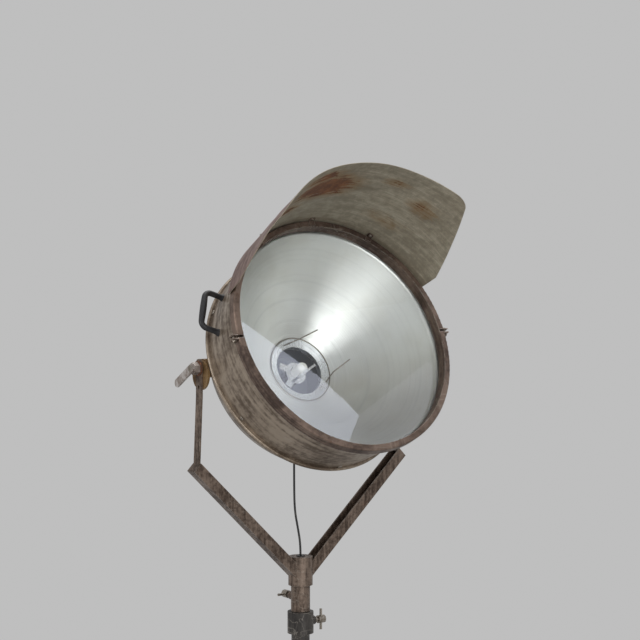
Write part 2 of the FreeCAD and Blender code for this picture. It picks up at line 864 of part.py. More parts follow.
def visor_section(radius, drop, half_turn, depth):
    """Cross section of the curved sheet at one depth: two arcs about a centre lower than the axis."""
    radius, half_turn = float(radius), float(half_turn)
    centre = Vector(0, -float(drop), float(depth))

    def on_arc(distance, turn):
        angle = math.radians(90 + turn)
        return centre + Vector(math.cos(angle), math.sin(angle), 0) * distance

    inner = radius - float(size.visor_wall)
    corners = [on_arc(radius, -half_turn), on_arc(radius, half_turn), on_arc(inner, half_turn),
               on_arc(inner, -half_turn)]
    return Part.Wire([
        Part.Arc(corners[0], on_arc(radius, 0), corners[1]).toShape(),
        Part.LineSegment(corners[1], corners[2]).toShape(),
        Part.Arc(corners[2], on_arc(inner, 0), corners[3]).toShape(),
        Part.LineSegment(corners[3], corners[0]).toShape(),
    ])


visor_sheet = Part.makeLoft([
    visor_section(visor_radius, 0, size.visor_half_turn, size.visor_rear_depth),
    visor_section(size.visor_front_curve, size.visor_centre_drop,
                  size.visor_front_half_turn, size.visor_front_depth),
], True, True)
visor_reach = float(size.visor_front_curve) * 1.1
side_path, _ = bent([
    at(0, size.visor_edge_rise, size.visor_shoulder_depth),
    at(0, size.visor_corner_rise, size.visor_front_depth),
    at(0, visor_reach, size.visor_front_depth),
], float(size.visor_corner_rounding))
side_view = Part.Wire(side_path.Edges + [
    Part.LineSegment(at(0, visor_reach, size.visor_front_depth), at(0, visor_reach, size.visor_rear_depth)).toShape(),
    Part.LineSegment(at(0, visor_reach, size.visor_rear_depth),
                     at(0, size.visor_edge_rise, size.visor_rear_depth)).toShape(),
    Part.LineSegment(at(0, size.visor_edge_rise, size.visor_rear_depth),
                     at(0, size.visor_edge_rise, size.visor_shoulder_depth)).toShape(),
])
trim = Part.Face(side_view).extrude(Vector(2 * visor_reach, 0, 0))
trim.translate(Vector(-visor_reach, 0, 0))
visor_place = HEAD * Placement(Vector(), Rotation(Z_AXIS, float(size.visor_lean)))
visor_blank = formed("visor_blank", visor_sheet.common(trim), visor_place)
keep("visor", cut("visor", visor_blank, holes("visor_holes", visor_screw_places,
                                              visor_screw_shank + size.fit_gap, 8, 12)))

tab_wall = 1.5
tab_width = 14
tab_front = bezel_front + 12
tab_foot_low = bezel_opening_radius + 2
visor_inside = visor_radius - size.visor_wall
tab_middle = (bezel_front + tab_front) / 2


def visor_tab(i, turn):
    """A bent tab: one leg on the bezel's front, the other along the inside of the visor."""
    inner = visor_inside - size.seat_gap - tab_wall
    foot = head_box(f"tab_foot_{i}", inner + tab_wall - tab_foot_low, tab_width, tab_wall,
                    (inner + tab_wall + tab_foot_low) / 2, 0, bezel_front + tab_wall / 2, turn)
    leg = head_box(f"tab_leg_{i}", tab_wall, tab_width, tab_front - bezel_front,
                   inner + tab_wall / 2, 0, tab_middle, turn)
    hole = rod(f"tab_hole_{i}", visor_screw_shank + size.fit_gap, 20, below(visor_screw_places[i], 10))
    return cut(f"visor_tab_{i}", fused(f"tab_blank_{i}", foot, leg), hole)


group("visor_tabs", [visor_tab(i, turn) for i, turn in enumerate(visor_screw_turns)])
group("visor_screws", [
    screw(f"visor_screw_{i}", 4, 2.2, visor_screw_shank, 8, below(p, -(size.seat_gap + tab_wall)))
    for i, p in enumerate(visor_screw_places)
])

# ---------------------------------------------------------------- carrying handle
handle_path, _ = bent([
    at(0, -handle_leg, handle_inside - 6), at(0, -handle_leg, handle_top),
    at(0, handle_leg, handle_top), at(0, handle_leg, handle_inside - 6),
], float(size.handle_bend))
handle_tube = tube_along("handle_tube", handle_path, float(size.handle_bar_radius))
handle_tube.Placement = handle_frame
keep("carry_handle", cut("carry_handle", handle_tube, drum_envelope("handle_trim"), holes(
    "handle_bores", [below(p, handle_screw_length + 1) for p in handle_screw_places],
    handle_screw_shank + size.fit_gap, 0, handle_screw_length + 1)))
group("handle_screws", [
    screw(f"handle_screw_{i}", handle_screw_head, 3, handle_screw_shank, handle_screw_length, p)
    for i, p in enumerate(handle_screw_places)
])

# ---------------------------------------------------------------- trunnions, one each side
SIDES = {"left": -1, "right": 1}
arm_outside = arm_inside + size.arm_wall
washer_outside = arm_outside + size.washer_wall
nut_outside = washer_outside + size.nut_length
lever_outside = nut_outside + size.lever_wall
boss_reach = arm_inside - size.friction_disc_wall
stud_bore = size.stud_radius + size.fit_gap


def outwards(side, reach, y=0, z=0):
    """A place beside the head at a distance from its middle, Z pointing away from the head."""
    return along(pivot + at(side * reach, y, z), X_AXIS * side)


def bored(label, blank, start, length, side):
    return cut(label, blank, rod(label + "_bore", stud_bore, length, outwards(side, start)))


studs, discs, washers = [], [], []
for name, side in SIDES.items():
    boss_start = stud_root - 20
    boss = rod(f"boss_blank_{name}", size.boss_radius, boss_reach - boss_start, outwards(side, boss_start))
    trimmed = cut(f"boss_trimmed_{name}", boss, shell_envelope(f"boss_seat_{name}"))
    keep(f"trunnion_{name}", bored(f"trunnion_{name}", trimmed, stud_root, 40, side))
    disc = rod(f"disc_blank_{name}", size.friction_disc_radius, size.friction_disc_wall,
               outwards(side, boss_reach, 0, -size.friction_disc_drop))
    discs.append(bored(f"friction_disc_{name}", disc, boss_reach, 20, side))
    stud_end = lever_outside if side < 0 else nut_outside + 3
    studs.append(rod(f"stud_{name}", size.stud_radius, stud_end - stud_root, outwards(side, stud_root)))
    washers.append(sleeve(f"washer_{name}", stud_bore, size.washer_radius, 0, size.washer_wall,
                          outwards(side, arm_outside)))
group("pivot_studs", studs)
group("friction_discs", discs)
group("pivot_washers", washers)

keep("pivot_nut", bored("pivot_nut", hexagon("pivot_nut_blank", size.nut_width, size.nut_length,
                                             outwards(1, washer_outside)), washer_outside, 20, 1))
lever_root = 8
lever_nose = 5
lever_half = size.lever_width / 2
lever_turn = Rotation(Y_AXIS, Z_AXIS, X_AXIS, "ZXY")
lever_middle = pivot + at(-(nut_outside + size.lever_wall / 2), 0, 0)
lever_place = Placement(lever_middle, Rotation(X_AXIS, -float(size.lever_drop)) * lever_turn)
lever_bar = plate("lever_bar", [
    (-lever_root, -lever_half), (size.lever_length - lever_nose, -lever_half),
    (size.lever_length, -lever_half + lever_nose), (size.lever_length, lever_half - lever_nose),
    (size.lever_length - lever_nose, lever_half), (-lever_root, lever_half),
], size.lever_wall, lever_place)
lever_nut = hexagon("lever_nut", size.nut_width, size.nut_length, outwards(-1, washer_outside))
keep("tilt_lever", bored("tilt_lever", fused("lever_blank", lever_nut, lever_bar), washer_outside, 40, -1))

# ---------------------------------------------------------------- cord gland and inner lead
gland_flange = 5
gland_flange_low = 16
gland_rod = rod("gland_rod", size.gland_radius, size.gland_length, along(gland_end, Z_AXIS))
gland_collar = rod("gland_collar", size.gland_radius + gland_flange, size.gland_length - gland_flange_low,
                   along(gland_end + at(0, 0, gland_flange_low), Z_AXIS))
gland_seat = cut("gland_seat", gland_collar, shell_envelope("gland_trim"))
keep("cable_gland", fused("cable_gland", gland_rod, gland_seat))

lead_start = HEAD.inverse().multVec(gland_top)
lead_points = [lead_start, at(0, -104, lead_start.z + 16), at(0, -62, holder_rear + 14),
               at(0, -size.holder_radius, holder_rear + 14)]
lead_path, lead_radii = bent([HEAD.multVec(p) for p in lead_points])
keep("inner_lead", tube_along("inner_lead", lead_path, float(size.cord_radius)))

# ---------------------------------------------------------------- yoke
slope = size.yoke_slope
hub_top = -size.hub_drop
socket_top = hub_top - size.hub_height
socket_bottom = socket_top - size.socket_length
hub_place = Placement(pivot, Rotation())


def yoke_arm(name, side):
    """A flat bar down from the pivot, joggled out, and a channel that slopes in to the hub."""
    joggle_low = -size.yoke_corner_drop + size.channel_height * cosine(slope) + 5
    foot = -size.yoke_corner_drop + size.channel_height * cosine(slope) - 6
    inside, outside = arm_inside, arm_outside
    lean = size.arm_joggle
    front = [
        (inside, size.arm_top_rise), (outside, size.arm_top_rise), (outside, -size.arm_joggle_drop),
        (outside + lean, joggle_low), (outside + lean, foot), (inside + lean, foot),
        (inside + lean, joggle_low), (inside, -size.arm_joggle_drop),
    ]
    flat = Placement(pivot, Rotation(X_AXIS * side, Vector(), Y_AXIS * -side, "ZXY"))
    bar = plate(f"bar_{name}", front, size.arm_width, flat)
    half = size.arm_width / 2
    shoulder = size.arm_top_rise - 9
    side_place = Placement(pivot, Rotation(Y_AXIS, Z_AXIS, X_AXIS, "ZXY"))
    outline = plate(f"bar_outline_{name}", [
        (-half, foot * 1.1), (half, foot * 1.1), (half, shoulder),
        (-half, shoulder, 0, size.arm_top_rise),
    ], arm_inside * 2.4, side_place)
    rounded = shared(f"bar_rounded_{name}", bar, outline)
    angle = math.radians(float(slope))
    inwards = Vector(-side * math.cos(angle), 0, -math.sin(angle))
    upwards = Vector(-side * math.sin(angle), 0, math.cos(angle))
    corner = pivot + at(side * yoke_corner_reach, 0, -size.yoke_corner_drop)
    length = yoke_corner_reach / cosine(slope)
    frame = Placement(corner + inwards * float(length / 2), Rotation(upwards, Vector(), inwards, "ZXY"))
    wide = size.channel_width / 2
    thick = size.channel_wall
    channel = plate(f"channel_{name}", [
        (0, -wide), (size.channel_height, -wide), (size.channel_height, thick - wide), (thick, thick - wide),
        (thick, wide - thick), (size.channel_height, wide - thick), (size.channel_height, wide), (0, wide),
    ], length, frame)
    end_middle = corner + upwards * float(size.channel_height / 2) + inwards * float(thick / 2)
    end = block(f"channel_end_{name}", size.channel_height, size.channel_width, thick,
                Placement(end_middle, frame.Rotation))
    blank = fused(f"arm_blank_{name}", rounded, channel, end)
    hub_space = rod(f"hub_space_{name}", hub_radius, size.hub_height * 2,
                    along(pivot + at(0, 0, socket_top - size.hub_height), Z_AXIS))
    across = block(f"other_side_{name}", hub_radius * 2, hub_radius * 4, size.hub_height * 3,
                   Placement(pivot + at(-side * hub_radius, 0, socket_top), Rotation()))
    small_hole = rod(f"arm_hole_{name}", size.arm_hole_radius, 20,
                     outwards(side, arm_inside - 5, 0, -size.arm_hole_drop))
    trimmed = cut(f"arm_trimmed_{name}", blank, hub_space, across, small_hole)
    return keep(f"yoke_arm_{name}", bored(f"yoke_arm_{name}", trimmed, arm_inside - 5, 20, side))


for name, side in SIDES.items():
    yoke_arm(name, side)

mast_bore = size.mast_radius + size.fit_gap
mast_top = hub_top - size.hub_roof
lock_drop = socket_top - size.socket_length / 2
hub_turned = turned("hub_turned", [
    (mast_bore, socket_bottom), (socket_radius, socket_bottom), (socket_radius, socket_top),
    (hub_radius, socket_top), (hub_radius, hub_top), (size.grommet_radius, hub_top),
    (size.grommet_radius, mast_top), (mast_bore, mast_top),
], hub_place)
lock_boss_start = size.mast_radius + 1
pan_lock_frame = along(pivot + at(0, 0, lock_drop), Y_AXIS)


def lock_boss(label, start, frame):
    return rod(label, size.lock_boss_radius, size.lock_boss_reach - start,
               frame * Placement(at(0, 0, start), Rotation()))


def lock_bore(label, frame):
    return rod(label, size.lock_screw_radius + size.fit_gap, size.lock_boss_reach + 5, frame)


keep("yoke_hub", cut(
    "yoke_hub",
    fused("hub_blank", hub_turned, lock_boss("pan_boss", lock_boss_start, pan_lock_frame)),
    lock_bore("pan_lock_bore", pan_lock_frame),
))
grommet_flange = 4
grommet_bore = size.cord_radius + size.fit_gap
grommet_top = hub_top + 2
keep("yoke_grommet", turned("yoke_grommet", [
    (grommet_bore, mast_top), (size.grommet_radius - size.fit_gap, mast_top),
    (size.grommet_radius - size.fit_gap, hub_top), (size.grommet_radius + grommet_flange, hub_top),
    (size.grommet_radius + grommet_flange, grommet_top), (grommet_bore, grommet_top),
], hub_place))


def lock_screw(label, frame):
    """A set screw with a knob end, turned by a loose bar through it. Its tip bears on the mast."""
    tip = size.mast_radius + size.seat_gap
    knob_start = size.lock_boss_reach + 10
    middle = (knob_start + size.lock_screw_reach) / 2
    stem = turned(label + "_stem", [
        (0, tip), (size.lock_screw_radius, tip), (size.lock_screw_radius, knob_start),
        (size.lock_knob_radius, knob_start), (size.lock_knob_radius, size.lock_screw_reach),
        (0, size.lock_screw_reach),
    ], frame)
    bar_frame = frame * Placement(at(0, 0, middle), Rotation(Y_AXIS, 90))
    bar = rod(label + "_bar", size.tommy_radius, size.tommy_length,
              bar_frame * Placement(at(0, 0, -size.tommy_length / 2), Rotation()))
    return keep(label, fused(label, stem, bar))


lock_screw("pan_lock_screw", pan_lock_frame)

# ---------------------------------------------------------------- column
slide_gap = 1
tube_top = size.pivot_height + socket_bottom - slide_gap
keep("mast_tube", sleeve("mast_tube", size.mast_radius - size.mast_wall, size.mast_radius,
                         size.pivot_height + mast_top - size.mast_length, size.pivot_height + mast_top))
height_lock_frame = along(at(0, 0, tube_top - size.collar_height / 2), X_AXIS)
keep("outer_tube", cut(
    "outer_tube", sleeve("outer_tube_blank", tube_inside, tube_radius, size.tube_bottom_height, tube_top),
    lock_bore("outer_tube_bore", height_lock_frame)))
keep("mast_bush", cut(
    "mast_bush", sleeve("mast_bush_blank", mast_bore, tube_inside - size.fit_gap,
                        tube_top - size.collar_height, tube_top),
    lock_bore("mast_bush_bore", height_lock_frame)))
collar_bore = tube_radius + size.fit_gap
collar_ring = sleeve("collar_ring", collar_bore, collar_radius, tube_top - size.collar_height, tube_top)
keep("clamp_collar", cut(
    "clamp_collar",
    fused("collar_blank", collar_ring, lock_boss("collar_boss", collar_radius - 4, height_lock_frame)),
    lock_bore("collar_lock_bore", height_lock_frame)))
lock_screw("height_lock_screw", height_lock_frame)

plug_step = 15
cord_bore = size.cord_radius + size.fit_gap
end_plug_bottom = size.tube_bottom_height - plug_step
keep("column_end_plug", turned("column_end_plug", [
    (cord_bore, end_plug_bottom), (tube_radius, end_plug_bottom), (tube_radius, size.tube_bottom_height),
    (tube_inside - size.fit_gap, size.tube_bottom_height),
    (tube_inside - size.fit_gap, size.tube_bottom_height + plug_step + 5),
    (cord_bore, size.tube_bottom_height + plug_step + 5),
]))

# ---------------------------------------------------------------- tripod
LEGS = {"front": -90, "right": 30, "left": 150}
splay = math.atan2(float(size.foot_radius - hinge_radius), float(size.hinge_height))
leg_length = math.hypot(float(size.foot_radius - hinge_radius), float(size.hinge_height))
tongue_half = size.tongue_width / 2
tongue_rise = (hinge_radius - leg_hub_radius - size.stop_gap
               - tongue_half * math.cos(splay)) / math.sin(splay)
ear_gap = size.tongue_wall + size.seat_gap * 2


def hinge_frame(turn):
    """At a leg's hinge: X points out from the column and Z up."""
    spin = Rotation(Z_AXIS, turn)
    return Placement(spin.multVec(at(hinge_radius, 0, 0)) + at(0, 0, size.hinge_height), spin)


def leg_frame(turn):
    """At a leg's hinge with Z pointing back up the leg from its foot."""
    return hinge_frame(turn) * Placement(Vector(), Rotation(Y_AXIS, -math.degrees(splay)))


def hinge_pin_place(turn, reach):
    frame = hinge_frame(turn)
    return frame * Placement(at(0, -reach, 0), Rotation(X_AXIS, -90))


hub_parts = [sleeve("leg_hub_ring", tube_radius + size.fit_gap, leg_hub_radius,
                    size.hinge_height - size.leg_hub_height / 2, size.hinge_height + size.leg_hub_height / 2)]
hinge_bores = []
hinge_span = ear_gap / 2 + size.ear_wall
for name, turn in LEGS.items():
    frame = hinge_frame(turn)
    ear_length = hinge_radius - leg_hub_radius + 4
    for edge in (-1, 1):
        ear_y = edge * (ear_gap + size.ear_wall) / 2
        hub_parts.append(block(f"ear_{name}_{edge}", ear_length, size.ear_wall, size.ear_radius * 2,
                               frame * Placement(at(-ear_length / 2, ear_y, 0), Rotation())))
        hub_parts.append(rod(f"ear_end_{name}_{edge}", size.ear_radius, size.ear_wall,
                             frame * Placement(at(0, ear_y - size.ear_wall / 2, 0), Rotation(X_AXIS, -90))))
    hinge_bores.append(hinge_pin_place(turn, hinge_span + 1))
keep("leg_hub", cut("leg_hub", fused("leg_hub_blank", *hub_parts),
                    holes("hinge_bores", hinge_bores, size.hinge_bolt_radius + size.fit_gap, 0,
                          hinge_span * 2 + 2)))

bolt_nut = 5
bolt_places = [hinge_pin_place(turn, -hinge_span) for turn in LEGS.values()]
bolts = [screw(f"hinge_bolt_{i}", 8, 5, size.hinge_bolt_radius, hinge_span * 2 + bolt_nut + 2, p)
         for i, p in enumerate(bolt_places)]
nut_places = [below(p, hinge_span * 2 + bolt_nut) for p in bolt_places]
nuts = [cut(f"hinge_nut_{i}", hexagon(f"hinge_nut_blank_{i}", amount(13), bolt_nut, p),
            rod(f"hinge_nut_bore_{i}", size.hinge_bolt_radius + size.fit_gap, bolt_nut, p))
        for i, p in enumerate(nut_places)]
group("hinge_bolts", bolts + nuts)

floor_side = size.foot_radius * 2.5
for name, turn in LEGS.items():
    frame = leg_frame(turn)
    leg_end = size.boot_sole - leg_length
    tongue_low = -size.leg_top_drop - size.leg_cap_wall / 2
    tongue = block(f"tongue_{name}", size.tongue_width, size.tongue_wall, tongue_rise - tongue_low,
                   frame * Placement(at(0, 0, (tongue_rise + tongue_low) / 2), Rotation()))
    tube = turned(f"leg_tube_{name}", [
        (0, -size.leg_top_drop), (size.leg_radius, -size.leg_top_drop), (size.leg_radius, leg_end),
        (size.leg_radius - size.leg_wall, leg_end),
        (size.leg_radius - size.leg_wall, -size.leg_top_drop - size.leg_cap_wall),
        (0, -size.leg_top_drop - size.leg_cap_wall),
    ], frame)
    bore = rod(f"leg_bore_{name}", size.hinge_bolt_radius + size.fit_gap, size.tongue_wall * 2,
               hinge_pin_place(turn, size.tongue_wall))
    keep(f"leg_{name}", cut(f"leg_{name}", fused(f"leg_blank_{name}", tongue, tube), bore))
    boot_low = -leg_length - size.boot_radius * math.tan(splay) - 2
    boot = turned(f"boot_blank_{name}", [
        (0, boot_low), (size.boot_radius, boot_low), (size.boot_radius, leg_end + size.boot_grip),
        (size.leg_radius + size.fit_gap, leg_end + size.boot_grip),
        (size.leg_radius + size.fit_gap, leg_end), (0, leg_end),
    ], frame)
    floor = block(f"floor_{name}", floor_side, floor_side, 100, Placement(at(0, 0, -50), Rotation()))
    keep(f"foot_{name}", cut(f"foot_{name}", boot, floor))

# ---------------------------------------------------------------- cord
cord = float(size.cord_radius)
hub_entry = pivot + at(0, 0, grommet_top)
head_stretch = [
    gland_end,
    gland_end + Vector(0, 0, -75),
    Vector(0, 23, gland_end.z - 125),
    Vector(0, 9, gland_end.z - 166),
    Vector(0, 0, hub_entry.z + 24),
    hub_entry,
]
head_path, head_radii = bent(head_stretch)
keep("cord_head_stretch", tube_along("cord_head_stretch", head_path, cord))

column_cord_length = hub_entry.z - float(end_plug_bottom)
keep("cord_in_column", rod("cord_in_column", size.cord_radius, column_cord_length,
                           along(at(0, 0, end_plug_bottom), Z_AXIS)))

cord_lie = size.cord_radius + size.floor_gap
coil_lie = cord_lie + size.tie_wall + size.seat_gap
coil_centre = at(-20, size.coil_centre_back, coil_lie)
coil_start_x = coil_centre.x + float(size.coil_radius)
floor_route = [
    at(0, 0, end_plug_bottom),
    at(0, 0, end_plug_bottom - 28),
    at(0, 9, end_plug_bottom - 62),
    at(1, 29, end_plug_bottom - 91),
    at(2, 60, end_plug_bottom - 112),
    at(3, 98, cord_lie + 2),
    at(8, 142, cord_lie),
    at(coil_start_x, 190, cord_lie + 0.6),
    at(coil_start_x, coil_centre.y - 10, coil_lie),
    at(coil_start_x, coil_centre.y, coil_lie),
]
floor_path, floor_radii = bent(floor_route)
keep("cord_floor", tube_along("cord_floor", floor_path, cord))
for label, radii in (("inner_lead", lead_radii), ("cord_head_stretch", head_radii), ("cord_floor", floor_radii)):
    print(label, "bend radii", [round(r) for r in radii])


# The rest of the cord lies in two layers of loops: in along the floor, then out again on top.
coil_turns_in = 3.5
coil_turns_out = 3.25
coil_climb = 0.5


def coil_point(turns):
    """Place and direction of travel after so many turns of the coil."""
    drawn_in = float(size.coil_radius - size.coil_core_radius)
    climb_end = coil_turns_in + coil_climb

    def place(t):
        if t < coil_turns_in:
            radius, level = float(size.coil_radius) - drawn_in * t / coil_turns_in, 0
        elif t < climb_end:
            share = (t - coil_turns_in) / coil_climb
            radius = float(size.coil_core_radius)
            level = float(size.coil_step) * (1 - math.cos(math.pi * share)) / 2
        else:
            radius = float(size.coil_core_radius) + drawn_in * (t - climb_end) / coil_turns_out
            level = float(size.coil_step)
        angle = 2 * math.pi * t
        return coil_centre + Vector(radius * math.cos(angle), radius * math.sin(angle), level)

    around = Vector(-math.sin(2 * math.pi * turns), math.cos(2 * math.pi * turns), 0)
    return place(turns), around


def biarc(start, start_way, end, end_way):
    """Two arcs that join two points, each left and reached in its given direction."""
    gap = end - start
    ways = start_way + end_way
    a = ways.dot(ways) - 4
    b = -2 * gap.dot(ways)
    c = gap.dot(gap)
    reach = (-b - math.sqrt(b * b - 4 * a * c)) / (2 * a) if abs(a) > 1e-9 else -c / b
    meet = (start + start_way * reach + end - end_way * reach) / 2
    return [arc_from(start, start_way, meet), arc_from(end, end_way * -1, meet)]


def arc_from(start, way, end):
    chord = end - start
    side = chord - way * chord.dot(way)
    centre = start + side * (chord.dot(chord) / (2 * side.dot(side)))
    middle = (start - centre) + (end - centre)
    via = centre + middle.normalize() * (start - centre).Length
    return Part.Arc(start, via, end).toShape()


coil_turns = coil_turns_in + coil_climb + coil_turns_out
quarters = [coil_point(i / 4) for i in range(int(coil_turns * 4) + 1)]
coil_edges = []
for (here, way), (there, on) in zip(quarters, quarters[1:]):
    coil_edges += biarc(here, way, there, on)
coil_end, coil_way = quarters[-1]
lead_out = coil_end + coil_way * (2 * cord)
coil_edges.append(Part.LineSegment(coil_end, lead_out).toShape())
coil_path = Part.Wire(coil_edges)
keep("cord_coil", tube_along("cord_coil", coil_path, cord))

coil_trace = coil_path.discretize(Distance=1.5)
step = coil_path.Length / (len(coil_trace) - 1)
skip = int(6 * cord / step)
coil_gap = min(
    (coil_trace[i] - coil_trace[j]).Length
    for i in range(len(coil_trace)) for j in range(i + skip, len(coil_trace))
) - 2 * cord
print(f"coil: least gap to itself {coil_gap:.2f} mm, {coil_turns} turns")

tie_low = cord_lie - cord
tie_across = size.coil_radius - size.coil_core_radius + 2 * cord + size.seat_gap * 2
tie_height = size.coil_step + 2 * cord + size.seat_gap * 2
tie_middle = at(coil_centre.x - (size.coil_radius + size.coil_core_radius) / 2, coil_centre.y,
                coil_lie + size.coil_step / 2)
tie_place = Placement(tie_middle, Rotation())
tie_outer = block("tie_outer", tie_across + size.tie_wall * 2, size.tie_width,
                  tie_height + size.tie_wall * 2, tie_place)
tie_inner = block("tie_inner", tie_across, size.tie_width * 2, tie_height, tie_place)
keep("cord_tie", cut("cord_tie", tie_outer, tie_inner))

plug_axis = size.plug_radius + size.floor_gap
plug_back = lead_out + Vector(-104, 30, float(plug_axis) - lead_out.z)
plug_way = Vector(-1, 0, 0)
tail_route = [
    lead_out,
    lead_out + Vector(-14, 0, 0),
    Vector(lead_out.x - 36, lead_out.y + 5, float(cord_lie) + 1.4),
    Vector(lead_out.x - 60, lead_out.y + 18, float(cord_lie) + 1.2),
    Vector(lead_out.x - 82, lead_out.y + 28.5, float(plug_axis) - 3),
    plug_back,
]
tail_path, tail_radii = bent(tail_route)
keep("cord_tail", tube_along("cord_tail", tail_path, cord))
print("cord_tail bend radii", [round(r) for r in tail_radii])

plug_place = along(plug_back, plug_back - tail_route[-2])
plug_nose = 9
keep("plug_body", turned("plug_body", [
    (0, 0), (cord + 2, 0), (size.plug_radius * 0.8, 14), (size.plug_radius * 0.8, 19),
    (size.plug_radius, 22), (size.plug_radius, size.plug_length), (0, size.plug_length),
], plug_place))
pin_radius = 2.4
pin_length = 19
pin_spread = 19
plug_spin = plug_place.Rotation
pin_line = plug_spin.inverted().multVec(Vector(0, 0, 1).cross(plug_spin.multVec(Z_AXIS)))
pin_line.z = 0
pin_line.normalize()
group("plug_pins", [
    rod(f"plug_pin_{side}", pin_radius, pin_length,
        plug_place * Placement(pin_line * (side * pin_spread / 2) + at(0, 0, size.plug_length), Rotation()))
    for side in (-1, 1)
])

# ---------------------------------------------------------------- checks and files
doc.recompute()
faults = [f"{piece.Label}: {state}" for piece in doc.Objects for state in piece.State
          if state in ("Invalid", "Error")]
for label, piece in NODES.items():
    shape = piece.Shape
    if shape.isNull() or not shape.isValid() or not shape.Solids:
        faults.append(f"{label}: shape is null, not valid or not solid")
if faults:
    raise RuntimeError("; ".join(faults))

for label, piece in NODES.items():
    piece.Shape.exportStep(f"parts/{label}.step")
    box = piece.Shape.optimalBoundingBox(True, False)
    print(f"{label:18} {len(piece.Shape.Solids):2} solids {piece.Shape.Volume / 1000:9.2f} cm3 "
          f"x {box.XMin:7.1f} {box.XMax:7.1f} y {box.YMin:7.1f} {box.YMax:7.1f} z {box.ZMin:7.1f} {box.ZMax:7.1f}")
print(len(NODES), "nodes")
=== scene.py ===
import math

import bpy
import numpy as np
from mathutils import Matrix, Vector


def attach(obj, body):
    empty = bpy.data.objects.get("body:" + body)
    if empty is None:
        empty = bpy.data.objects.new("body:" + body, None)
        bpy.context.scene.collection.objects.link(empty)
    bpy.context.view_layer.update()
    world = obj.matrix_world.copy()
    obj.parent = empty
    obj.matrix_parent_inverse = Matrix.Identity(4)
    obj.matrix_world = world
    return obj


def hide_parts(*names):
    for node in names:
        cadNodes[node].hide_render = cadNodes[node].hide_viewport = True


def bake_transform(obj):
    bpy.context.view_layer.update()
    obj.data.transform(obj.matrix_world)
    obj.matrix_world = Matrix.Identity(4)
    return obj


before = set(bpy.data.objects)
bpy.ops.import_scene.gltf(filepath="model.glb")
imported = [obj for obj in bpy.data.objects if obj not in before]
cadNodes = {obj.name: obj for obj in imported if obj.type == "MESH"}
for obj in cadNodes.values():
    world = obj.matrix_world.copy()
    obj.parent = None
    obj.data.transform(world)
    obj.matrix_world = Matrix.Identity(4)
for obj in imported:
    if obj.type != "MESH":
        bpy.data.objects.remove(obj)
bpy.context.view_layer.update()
print("frame loaded:", len(cadNodes), "nodes")

# the head's own axes: x to the side, u up the glass, f out along the beam
headTilt = math.radians(27)
headCentre = np.array([0.0, 0.0, 1.450])
headSide = np.array([1.0, 0.0, 0.0])
headUp = np.array([0.0, math.sin(headTilt), math.cos(headTilt)])
headForward = np.array([0.0, -math.cos(headTilt), math.sin(headTilt)])


def fromHead(x, u, f):
    # a place in the head's axes turned into the lamp's frame, for whole arrays
    x, u, f = np.broadcast_arrays(x, u, f)
    return headCentre + x[..., None] * headSide + u[..., None] * headUp + f[..., None] * headForward


def tint(red, green, blue):
    # a colour as the eye reads it, 0 to 255, turned into the shader's linear numbers
    shown = np.array([red, green, blue]) / 255
    linear = np.where(shown <= 0.04045, shown / 12.92, ((shown + 0.055) / 1.055) ** 2.4)
    return (*linear.tolist(), 1.0)


def aimed(way):
    # the turn that points a camera or a lamp along a way
    return Vector(way).to_track_quat("-Z", "Y").to_euler()


camera = {"place": (-2.3274, -3.3993, 1.7076), "looks": (0.5736, 0.8185, -0.035), "lens": 101.25,
          "sensor": 36, "farthest": 60}
cameraData = bpy.data.cameras.new("camera")
cameraData.lens = camera["lens"]
cameraData.sensor_width = camera["sensor"]
cameraData.clip_end = camera["farthest"]
cameraObject = bpy.data.objects.new("camera", cameraData)
cameraObject.location = camera["place"]
cameraObject.rotation_euler = aimed(camera["looks"])
bpy.context.collection.objects.link(cameraObject)
bpy.context.scene.camera = cameraObject


def cornerVertices(mesh):
    # the vertex that each face corner stands on
    corners = np.empty(len(mesh.loops), dtype=np.int32)
    mesh.loops.foreach_get("vertex_index", corners)
    return corners


def putUv(mesh, cornerUv):
    # a UV map from one row a face corner
    layer = mesh.uv_layers.new(name="UVMap")
    layer.data.foreach_set("uv", cornerUv.ravel().astype(np.float32))


def addPiece(name, vertices, faceSets, body=None, uv=None):
    # a smooth mesh: each face set has one number of corners, uv has one row a vertex
    mesh = bpy.data.meshes.new(name)
    faces = [face for faceSet in faceSets for face in faceSet.tolist()]
    mesh.from_pydata(vertices.reshape(-1, 3).tolist(), [], faces)
    if uv is not None:
        putUv(mesh, uv.reshape(-1, 2)[cornerVertices(mesh)])
    mesh.polygons.foreach_set("use_smooth", [True] * len(mesh.polygons))
    mesh.update()
    piece = bpy.data.objects.new(name, mesh)
    bpy.context.collection.objects.link(piece)
    if body:
        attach(piece, body)
    return piece


def gridFaces(rows, columns, closed=False):
    # quads of a rows by columns grid; closed joins the last column to the first
    last = columns if closed else columns - 1
    row, column = np.meshgrid(np.arange(rows - 1), np.arange(last), indexing="ij")
    beside = (column + 1) % columns
    low, high = row * columns, (row + 1) * columns
    return np.stack([low + column, low + beside, high + beside, high + column], axis=-1).reshape(-1, 4)


def ringFaces(rows, around):
    # quads of a closed outline turned right round: the last row joins the first as well
    return gridFaces(rows + 1, around, closed=True) % (rows * around)


def fullTurn(count):
    # evenly spaced angles round a circle, the last one step short of the first
    return np.linspace(0, 2 * math.pi, count, endpoint=False)


def squareTo(way):
    # a vector square to a way: its cross product with z, or with x where the way is steep
    steep = 0.9
    return np.cross(way, [0.0, 0.0, 1.0] if abs(way[2]) < steep else [1.0, 0.0, 0.0])


def pathFrames(path):
    # unit tangents of a path and two unit vectors square to them, carried along without twist
    ways = np.gradient(path, axis=0)
    ways /= np.linalg.norm(ways, axis=1, keepdims=True)
    side = squareTo(ways[0])
    sides = []
    for way in ways:
        side = side - way * np.dot(side, way)
        side = side / np.linalg.norm(side)
        sides.append(side)
    sides = np.array(sides)
    return sides, np.cross(ways, sides)


